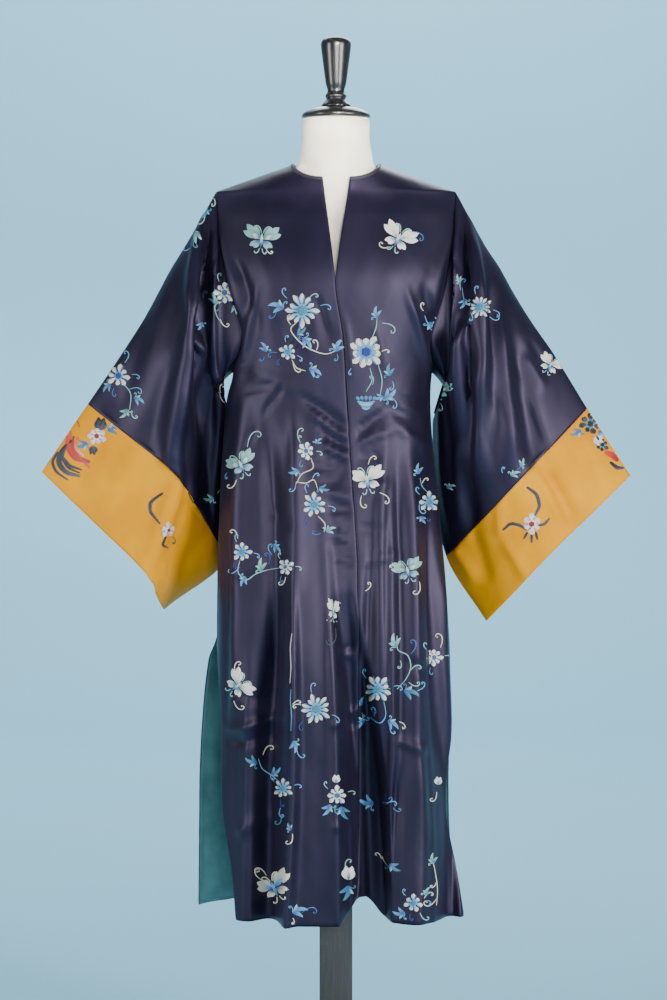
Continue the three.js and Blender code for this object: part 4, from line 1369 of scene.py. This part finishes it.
layouts = {
    "frontLeft": [
        "butterfly 262,240 6 27 1 teal", "curl 266,249 150 16 -1 cream", "flower 302,311 0 29 12 cream",
        "curl 308,300 38 22 1 pale", "leaf 284,309 -70 22 -1 blue", "curl 277,311 200 20 1 blue",
        "stem 297,322 291,330 300,342 312,350 326,354 338,350 2.2 cream", "curl 292,326 -40 22 1 cream",
        "leaf 303,338 140 20 1 blue", "leaf 297,334 60 15 -1 teal", "curl 316,352 20 24 -1 cream",
        "leaf 336,352 20 20 1 blue", "curl 337,353 165 16 1 teal", "flower 288,352 30 15 7 cream",
        "curl 279,353 280 22 -1 blue", "leaf 266,352 -20 15 -1 blue", "curl 265,356 200 14 1 blue",
        "stem 292,360 297,368 306,371 1.9 cream", "curl 293,362 170 24 -1 cream", "leaf 309,369 110 19 1 blue",
        "curl 313,373 150 14 -1 sky", "curl 299,441 345 26 1 mint", "flower 306,451 10 15 7 pale",
        "leaf 316,444 40 11 1 blue", "stem 311,458 313,468 302,474 296,484 1.9 cream",
        "leaf 299,470 250 15 1 blue", "curl 296,482 185 22 1 sky",
        "stem 296,482 306,483 314,480 318,490 1.9 cream", "curl 312,480 20 18 1 sky",
        "leaf 319,487 110 15 -1 teal", "flower 314,505 0 21 9 cream", "stem 318,516 325,524 324,532 1.9 cream",
        "leaf 326,532 60 15 1 sky", "curl 322,533 250 20 1 blue", "butterfly 241,465 -22 25 -1 teal",
        "curl 247,450 8 44 1 pale", "curl 237,478 196 26 1 cream", "curl 228,472 220 14 -1 teal",
        "flower 242,552 0 17 8 cream", "curl 238,540 352 24 -1 cream",
        "stem 240,560 238,572 246,580 256,574 268,570 280,568 2.1 mint", "curl 240,566 215 26 1 sky",
        "leaf 246,577 215 15 -1 blue", "leaf 262,571 350 18 1 sky", "curl 268,566 20 26 -1 blue",
        "leaf 273,545 130 15 1 blue", "curl 273,556 320 24 1 sky", "flower 286,567 10 14 7 pale",
        "curl 286,576 190 22 1 cream", "edgeButterfly 333,611 8 26 1 pale", "curl 335,626 172 40 1 grey",
        "butterfly 238,686 52 24 1 pale", "curl 236,676 345 28 1 cream", "curl 233,700 160 28 -1 cream",
        "stem 292,634 290.5,648 291,668 290,684 2.2 cream", "stem 291,690 290.5,702 291.5,716 291,732 2 sky",
        "curl 292,706 40 18 1 cream", "leaf 293,742 165 17 1 blue", "curl 296,748 170 26 -1 sky",
        "flower 316,710 12 26 13 cream", "curl 302,706 285 18 -1 cream", "curl 262,758 18 30 1 cream",
        "stem 258,760 262,770 272,777 280,784 1.9 mint", "leaf 257,764 285 18 1 teal",
        "leaf 271,776 60 16 -1 blue", "flower 283,790 0 17 9 cream", "curl 281,808 200 22 -1 sky",
        "curl 281,814 175 26 1 teal", "curl 292,834 175 26 1 cream", "leaf 291,832 330 11 1 cream",
        "butterfly 274,890 -24 29 -1 cream", "curl 267,880 332 30 -1 cream", "curl 264,884 300 30 1 cream",
        "leaf 292,916 70 22 1 blue", "curl 300,917 50 34 1 blue", "curl 292,920 150 14 1 cream",
        "flower 337,797 0 17 8 pale", "leaf 330,806 205 18 1 blue", "leaf 341,808 160 20 -1 teal",
        "bud 336,784 4 15 1 pale", "bud 348,882 4 26 1 pale", "leaf 348,888 190 22 1 teal",
        "curl 346,874 350 26 1 pale",
    ],
    "frontRight": [
        "butterfly 398,239 26 27 1 pale", "curl 410,232 96 30 1 blue", "curl 392,247 255 26 1 cream",
        "peony 366,352 0 29 11 blue", "curl 381,352 60 16 1 cream", "stem 372,338 376,328 377,318 1.9 mint",
        "leaf 377,318 350 16 1 blue", "curl 380,323 95 34 1 mint", "stem 370,368 372,380 366,392 1.9 mint",
        "curl 352,368 225 14 -1 sky", "vase 366,401 0 27 1 teal", "curl 372,386 20 20 -1 sky",
        "stem 378,364 382,380 380,396 1.8 mint", "leaf 390,376 350 17 1 teal", "curl 392,380 160 20 1 sky",
        "leaf 384,398 60 20 -1 blue", "leaf 383,396 250 13 1 blue", "curl 390,396 130 26 1 sky",
        "curl 424,312 320 18 1 cream", "leaf 429,322 150 18 -1 blue", "curl 424,314 165 30 -1 sky",
        "curl 432,324 60 16 -1 sky", "butterfly 367,480 -8 27 -1 pale", "curl 368,466 12 24 1 cream",
        "curl 362,494 195 28 -1 cream", "curl 378,492 110 30 1 cream", "flower 429,502 0 18 8 cream",
        "leaf 419,474 350 15 1 blue", "curl 422,484 20 16 1 cream", "stem 420,478 422,486 427,492 1.6 sky",
        "curl 420,500 190 28 -1 sky", "leaf 421,516 150 13 -1 blue", "butterfly 408,571 -14 23 1 teal",
        "curl 419,580 168 30 1 cream", "curl 397,567 300 14 -1 cream", "curl 364,592 60 22 -1 cream",
        "flower 378,690 0 24 10 cream", "leaf 362,706 330 17 1 teal", "leaf 365,722 260 18 -1 blue",
        "curl 362,712 170 22 -1 teal", "stem 384,702 386,716 380,724 370,718 2 sky",
        "curl 374,718 20 20 -1 sky", "leaf 388,722 120 18 1 blue", "curl 390,728 170 16 -1 sky",
        "curl 398,722 110 20 1 cream", "stem 397,636 398,650 408,656 411,668 406,680 397,690 2.2 mint",
        "leaf 397,648 340 20 1 pale", "curl 410,656 40 32 -1 blue", "curl 400,660 160 18 1 mint",
        "curl 410,672 40 24 1 pale", "curl 408,682 130 24 -1 pale", "leaf 404,692 100 22 1 teal",
        "curl 416,692 70 24 -1 sky", "curl 392,690 285 18 1 sky", "flower 434,658 0 16 8 pale",
        "curl 440,650 20 32 -1 cream", "leaf 374,805 280 22 1 blue", "curl 382,804 95 22 -1 blue",
        "curl 386,806 60 22 1 sky", "curl 392,808 140 20 -1 teal", "curl 382,862 345 18 -1 cream",
        "stem 382,858 385,864 388,868 1.6 cream", "leaf 390,866 130 18 -1 teal", "flower 414,906 0 16 7 cream",
        "leaf 406,916 270 18 1 blue", "curl 420,914 160 24 -1 mint", "curl 424,902 30 22 1 cream",
        "leaf 426,898 20 13 1 mint", "stem 433,862 436,876 438,892 437,908 1.9 cream",
        "leaf 434,866 350 15 1 pale", "curl 437,884 200 16 1 cream", "curl 438,900 215 30 1 cream",
        "bud 438,786 8 15 1 pale", "curl 437,792 180 24 1 cream",
    ],
    "sleeveLeft": [
        "curl 213,197 150 20 1 mint", "leaf 207,209 200 15 1 teal", "curl 206,214 190 26 1 mint",
        "leaf 199,232 200 17 -1 pale", "curl 196,238 205 20 -1 teal", "curl 192,246 215 18 1 sky",
        "flower 225,293 0 19 8 pale", "stem 222,302 215,306 217,316 222,324 1.8 mint",
        "leaf 215,304 350 15 -1 sky", "curl 220,318 160 24 -1 cream", "leaf 233,306 150 13 1 sky",
        "leaf 202,322 200 13 1 blue", "curl 204,300 350 18 1 grey", "curl 221,394 345 20 1 cream",
        "stem 219,392 222,400 227,405 1.5 cream", "flower 119,376 10 20 8 blue", "curl 124,364 40 26 -1 sky",
        "stem 124,384 131,394 130,410 2 mint", "curl 128,390 70 28 1 sky", "leaf 134,398 110 16 1 blue",
        "leaf 128,409 215 16 1 sky", "curl 131,410 170 20 -1 mint", "leaf 111,384 230 15 -1 teal",
        "leaf 214,498 260 15 1 pale", "curl 217,494 30 14 1 cream",
    ],
    "sleeveRight": [
        "flower 480,307 8 20 13 cream", "leaf 465,299 200 15 1 blue", "curl 461,292 345 26 1 sky",
        "stem 462,288 464,300 471,308 1.8 sky", "curl 470,312 150 18 1 sky", "curl 488,316 130 22 -1 sky",
        "leaf 460,282 330 11 1 sky", "butterfly 550,365 28 19 1 pale", "butterfly 440,390 12 18 -1 teal",
        "curl 440,402 150 18 1 pale", "curl 503,474 340 14 1 sky", "leaf 511,476 60 14 1 sky",
        "curl 516,470 60 18 -1 blue", "leaf 520,466 30 12 -1 sky", "leaf 447,488 70 13 1 pale",
    ],
    "cuffLeft": [
        "bud 100,430 8 24 1 night", "flower 97,436 10 17 7 plum", "leaf 108,431 70 19 1 teal",
        "leaf 88,443 250 18 1 teal", "bud 94,446 190 17 1 night", "curl 80,428 345 20 -1 red",
        "plume 70,431 68,446 75,458 90,462 8.5 coral red",
        "plume 72,440 61,452 58,463 66,473 80,476 7 ink grey", "plume 78,437 76,449 84,456 4 coral straw",
        "plume 74,436 72,448 79,457 90,468 4 red coral", "plume 66,447 62,458 68,468 80,473 3.4 grey ink",
        "plume 58,452 52,462 56,472 68,480 3.6 ink grey", "plume 64,458 70,466 82,470 3.6 grey ink",
        "flower 168,530 0 13 5 plum", "plume 163,493 150,502 150,512 160,524 4.4 ink grey",
        "plume 166,536 162,545 168,548 3 ink grey", "curl 172,536 140 16 1 grey",
    ],
    "cuffRight": [
        "flower 590,424 0 19 7 night", "leaf 581,430 240 17 1 teal", "leaf 598,432 90 17 -1 teal",
        "bud 596,436 150 19 1 plum", "flower 602,445 0 12 6 night",
        "plume 605,452 612,455 618,461 7.5 coral red", "plume 610,462 617,468 624,468 5 ink grey",
        "flower 532,524 0 18 6 plum", "plume 527,487 537,494 540,506 535,516 4.6 ink grey",
        "plume 503,530 511,523 520,525 527,530 4.2 ink grey", "plume 538,526 545,524 550,518 3.6 ink grey",
        "plume 528,532 524,539 3 ink grey", "plume 532,533 532,543 3 ink grey",
        "plume 536,532 538,540 3 ink grey",
    ],
    "backLeft": [
        "butterfly 285,228 10 26 1 teal", "flower 262,300 0 27 12 cream", "sprig 262,300 150 34 1 blue",
        "sprig 262,300 300 26 -1 teal", "peony 300,380 0 30 11 blue", "sprig 300,380 200 38 1 blue",
        "sprig 300,380 60 30 -1 pale", "butterfly 238,395 -20 24 1 pale", "flower 256,480 0 18 8 cream",
        "sprig 256,480 120 32 1 teal", "butterfly 312,500 30 22 -1 teal", "flower 290,590 0 22 10 cream",
        "sprig 290,590 210 34 -1 blue", "sprig 290,590 20 26 1 blue", "butterfly 228,640 0 24 1 pale",
        "flower 250,730 0 24 12 cream", "sprig 250,730 140 34 1 teal", "butterfly 310,760 -30 24 1 teal",
        "flower 290,850 0 18 9 pale", "sprig 290,850 190 30 1 blue", "butterfly 226,862 20 24 1 cream",
    ],
    "backRight": [
        "butterfly 388,232 -14 26 1 pale", "sprig 352,262 130 30 1 blue", "flower 410,318 0 22 10 cream",
        "sprig 410,318 210 34 -1 blue", "butterfly 362,350 30 22 1 teal", "flower 396,430 0 26 12 cream",
        "sprig 396,430 130 34 1 teal", "sprig 396,430 330 28 1 blue", "flower 356,520 0 17 8 pale",
        "sprig 356,520 200 30 1 blue", "butterfly 420,560 -26 24 1 pale", "peony 374,640 0 28 11 blue",
        "sprig 374,640 110 36 1 blue", "sprig 374,640 300 28 -1 pale", "butterfly 428,700 10 22 -1 teal",
        "flower 396,780 0 20 10 cream", "sprig 396,780 220 34 1 teal", "butterfly 352,840 24 22 1 pale",
        "flower 420,872 0 20 9 cream", "sprig 420,872 170 26 -1 blue",
    ],
    "sleeveLeftBack": [
        "flower 176,330 0 20 9 cream", "sprig 176,330 150 32 1 blue", "butterfly 206,250 20 20 1 pale",
        "butterfly 140,400 -30 20 1 teal", "sprig 200,430 170 30 1 teal",
    ],
    "sleeveRightBack": [
        "flower 500,336 0 20 9 cream", "sprig 500,336 210 32 -1 blue", "butterfly 468,262 -20 20 1 teal",
        "butterfly 540,404 30 20 1 pale", "sprig 476,440 190 30 -1 teal",
    ],
    "cuffLeftBack": [
        "flower 118,460 0 18 7 night", "leaf 132,466 110 18 1 teal", "plume 106,466 98,478 104,490 6 coral red",
        "flower 160,520 0 14 5 plum",
    ],
    "cuffRightBack": [
        "flower 560,460 0 18 7 night", "leaf 546,468 250 18 -1 teal",
        "plume 572,466 580,478 574,490 6 coral red", "flower 516,528 0 14 5 plum",
    ],
}


motifScale = {"stem": 0.85, "plume": 1.3, "curl": 1.5, "leaf": 1.3, "butterfly": 1.2, "edgeOn": 0.42}


def sew(stitches, motif):
    kind, *words = motif.split()
    points = [placed(*map(float, word.split(","))) for word in words if "," in word]
    names = [word for word in words if word.isalpha()]
    numbers = [float(word) for word in words if "," not in word and not word.isalpha()]
    if kind == "stem":
        stitches.stem(points, numbers[0] * motifScale["stem"], *names)
        return
    if kind == "plume":
        path, t = np.array(points), np.linspace(0, len(points) - 1, 22)
        path = np.stack([np.interp(t, np.arange(len(path)), path[:, k]) for k in (0, 1)], axis=-1)
        stitches.strip(relaxed(path, 4), numbers[0] * motifScale["plume"], names[0], 0.2, names[1])
        return
    (x, z), (turn, size, extra), tone = points[0], numbers, names[0]
    if kind == "curl":
        colour = tone if tone in threads else tones[tone][5]
        stitches.curl(x, z, turn, size * motifScale["curl"], extra, colour, 1.8)
    elif kind == "leaf":
        stitches.leaf(x, z, turn, size * motifScale["leaf"], tones.get(tone, tones["pale"]), extra)
    elif kind == "flower":
        stitches.flower(x, z, size, tones[tone], int(extra), turn)
        if tone not in ("night", "plum"):
            for k, side in ((0, 1), (1, -1), (2, 1)):
                heading = turn + 70 + 118 * k + x % 30
                stitches.curl(*offset(x, z, heading, size), heading, size * 0.9 + 9, side, tones[tone][5 + k % 2],
                              1.7, 0.75)
    elif kind == "peony":
        stitches.flower(x, z, size, tones[tone], int(extra), turn, True)
    elif kind == "bud":
        stitches.bud(x, z, turn, size, tones[tone])
    elif kind == "vase":
        stitches.vase(x, z, size, tones[tone])
    elif kind == "sprig":
        stitches.scroll(*offset(x, z, turn, 20), turn, size, extra, tones[tone])
    elif kind == "butterfly":
        stitches.butterfly(x, z, turn, size * motifScale["butterfly"], tones[tone], 0.8 if extra < 0 else 1.0)
    elif kind == "edgeButterfly":
        first = len(stitches.points)
        stitches.butterfly(x, z, turn, size, tones[tone])
        for points in stitches.points[first:]:
            points[:, 0] = x + (points[:, 0] - x) * motifScale["edgeOn"]
    else:
        raise ValueError(kind)


def knotMaker():
    # a tree that sets a small round knot on every point, as wide as the point's own radius says
    tree = bpy.data.node_groups.new("seedKnots", "GeometryNodeTree")
    tree.interface.new_socket("Geometry", in_out="INPUT", socket_type="NodeSocketGeometry")
    size = tree.interface.new_socket("Knot Size", in_out="INPUT", socket_type="NodeSocketFloat")
    size.default_value = 1.0
    finish = tree.interface.new_socket("Thread", in_out="INPUT", socket_type="NodeSocketMaterial")
    tree.interface.new_socket("Geometry", in_out="OUTPUT", socket_type="NodeSocketGeometry")
    nodes, links = tree.nodes, tree.links
    source, result = nodes.new("NodeGroupInput"), nodes.new("NodeGroupOutput")
    radius = nodes.new("GeometryNodeInputNamedAttribute")
    radius.data_type = "FLOAT"
    radius.inputs["Name"].default_value = "radius"
    scale = nodes.new("ShaderNodeMath")
    scale.operation = "MULTIPLY"
    ball = nodes.new("GeometryNodeMeshUVSphere")
    ball.inputs["Segments"].default_value = 7
    ball.inputs["Rings"].default_value = 5
    ball.inputs["Radius"].default_value = mm
    spread = nodes.new("GeometryNodeInstanceOnPoints")
    real = nodes.new("GeometryNodeRealizeInstances")
    coat = nodes.new("GeometryNodeSetMaterial")
    even = nodes.new("GeometryNodeSetShadeSmooth")
    for start, output, end, target in (
            (radius, "Attribute", scale, 0), (source, "Knot Size", scale, 1), (source, "Geometry", spread, "Points"),
            (ball, "Mesh", spread, "Instance"), (scale, 0, spread, "Scale"), (spread, "Instances", real, "Geometry"),
            (real, "Geometry", even, "Geometry"), (even, "Geometry", coat, "Geometry"),
            (source, "Thread", coat, "Material"), (coat, "Geometry", result, "Geometry")):
        links.new(start.outputs[output], end.inputs[target])
    return tree, size.identifier, finish.identifier


def makeKnots(name, knots, slot, tree, sizeInput, threadInput):
    seeds = bpy.data.meshes.new(name + "Seeds")
    seeds.from_pydata([tuple(np.array(spot) * mm) for spot, _, _ in knots], [], [])
    radii = seeds.attributes.new("radius", "FLOAT", "POINT")
    radii.data.foreach_set("value", [radius for _, radius, _ in knots])
    paints = seeds.attributes.new("thread", "FLOAT_COLOR", "POINT")
    paints.data.foreach_set("color", np.array([(*colour, 1) for _, _, colour in knots]).ravel())
    holder = bpy.data.objects.new(name + "Seeds", seeds)
    bpy.context.scene.collection.objects.link(holder)
    modifier = holder.modifiers.new("knots", "NODES")
    modifier.node_group = tree
    modifier[sizeInput] = 1.0
    modifier[threadInput] = thread
    bpy.context.view_layer.update()
    evaluated = holder.evaluated_get(bpy.context.evaluated_depsgraph_get())
    mesh = bpy.data.meshes.new_from_object(evaluated)
    mesh.name = name
    holder.modifiers.remove(modifier)
    bpy.data.objects.remove(holder)
    if "stitch" not in mesh.uv_layers:
        mesh.uv_layers.new(name="stitch")
    link(name, mesh, [])


knotTree = knotMaker()
for name, motifs in layouts.items():
    back = name.startswith("back") or name.endswith("Back")
    cloth = name.replace("Back", "") if name.endswith("Back") else name
    stitches = Stitches()
    for motif in motifs:
        sew(stitches, motif)
    slot = "gold_silk" if cloth.startswith("cuff") else "navy_silk"
    sewn, knots = castOn(stitches, pieces[cloth], name + "Embroidery", back)
    if knots:
        makeKnots(name + "Knots", knots, slot, *knotTree)
    print(f"embroidery: {name}, {len(sewn.data.polygons)} patches' faces")


# camera, light and backdrop
view = {
    "distance": 4.5, "height": 1.1046, "aimX": -0.004, "aimHeight": 0.9406,
    "frameHeight": 1.64, "sensor": 24.0,
}
backdrop = {"radius": 1.8, "depth": 6.6, "width": 22.0, "top": 8.0, "front": -9.0}
studio = {"colour": (0.72, 0.84, 0.92, 1), "strength": 0.3}


def aim(thing, target):
    direction = Vector(target) - thing.location
    thing.rotation_euler = direction.to_track_quat("-Z", "Y").to_euler()


def makeCamera():
    lens = bpy.data.cameras.new("camera")
    lens.sensor_fit = "VERTICAL"
    lens.sensor_height = view["sensor"]
    lens.lens = view["sensor"] * view["distance"] / view["frameHeight"]
    lens.clip_end = 100
    camera = bpy.data.objects.new("camera", lens)
    camera.location = (view["aimX"], -view["distance"], view["height"])
    aim(camera, (view["aimX"], 0, view["aimHeight"]))
    bpy.context.scene.collection.objects.link(camera)
    bpy.context.scene.camera = camera


def makeLight(name, place, target, size, power, colour, spread):
    lamp = bpy.data.lights.new(name, "AREA")
    lamp.shape = "RECTANGLE"
    lamp.size, lamp.size_y = size
    lamp.energy = power
    lamp.color = colour
    lamp.spread = math.radians(spread)
    holder = bpy.data.objects.new(name, lamp)
    holder.location = place
    aim(holder, target)
    bpy.context.scene.collection.objects.link(holder)


def makeStage():
    # a floor that curves up into a wall well behind the stand
    radius, depth, width, top, front = backdrop.values()
    start = depth - radius
    profile = [(front, 0.0), (start, 0.0)]
    profile += [(start + radius * math.sin(a), radius - radius * math.cos(a))
                for a in np.linspace(0, math.pi / 2, 17)[1:]]
    profile.append((depth, top))
    vertices = [(x, y, z) for y, z in profile for x in (-width / 2, width / 2)]
    faces = [(2 * i, 2 * i + 1, 2 * i + 3, 2 * i + 2) for i in range(len(profile) - 1)]
    mesh = bpy.data.meshes.new("backdrop")
    mesh.from_pydata(vertices, [], faces)
    smooth(mesh)
    mesh.materials.append(paper())
    sweep = bpy.data.objects.new("backdrop", mesh)
    bpy.context.scene.collection.objects.link(sweep)


makeCamera()
makeStage()
lights = [
    # name, place, aim, size, power, colour, spread
    ("keyLight", (2.8, -2.8, 1.35), (0, 0, 0.85), (1.0, 2.0), 180, (1.0, 0.985, 0.96), 180),
    ("fillLight", (-2.9, -2.0, 1.3), (0, 0, 0.8), (0.9, 2.0), 78, (1.0, 0.99, 0.97), 180),
    ("frontLight", (0.5, -4.9, 1.25), (0, 0, 0.8), (1.5, 1.4), 95, (1.0, 0.985, 0.96), 180),
    ("neckLight", (0.5, -2.6, 2.0), (0, 0, 1.62), (0.25, 0.25), 1.3, (1.0, 0.94, 0.86), 12),
    ("rearLight", (0.5, 2.4, 2.9), (0, 0, 1.0), (1.8, 1.0), 36, (0.95, 0.98, 1.0), 180),
    ("backdropLight", (0, 3.4, 5.2), (0, 6.4, 1.0), (6.0, 1.2), 370, (1.0, 1.0, 1.0), 180),
]
for row in lights:
    makeLight(*row)
world = bpy.data.worlds.new("studio")
world.use_nodes = True
for socket, value in zip(world.node_tree.nodes["Background"].inputs, studio.values()):
    socket.default_value = value
bpy.context.scene.world = world
print("camera and light set")
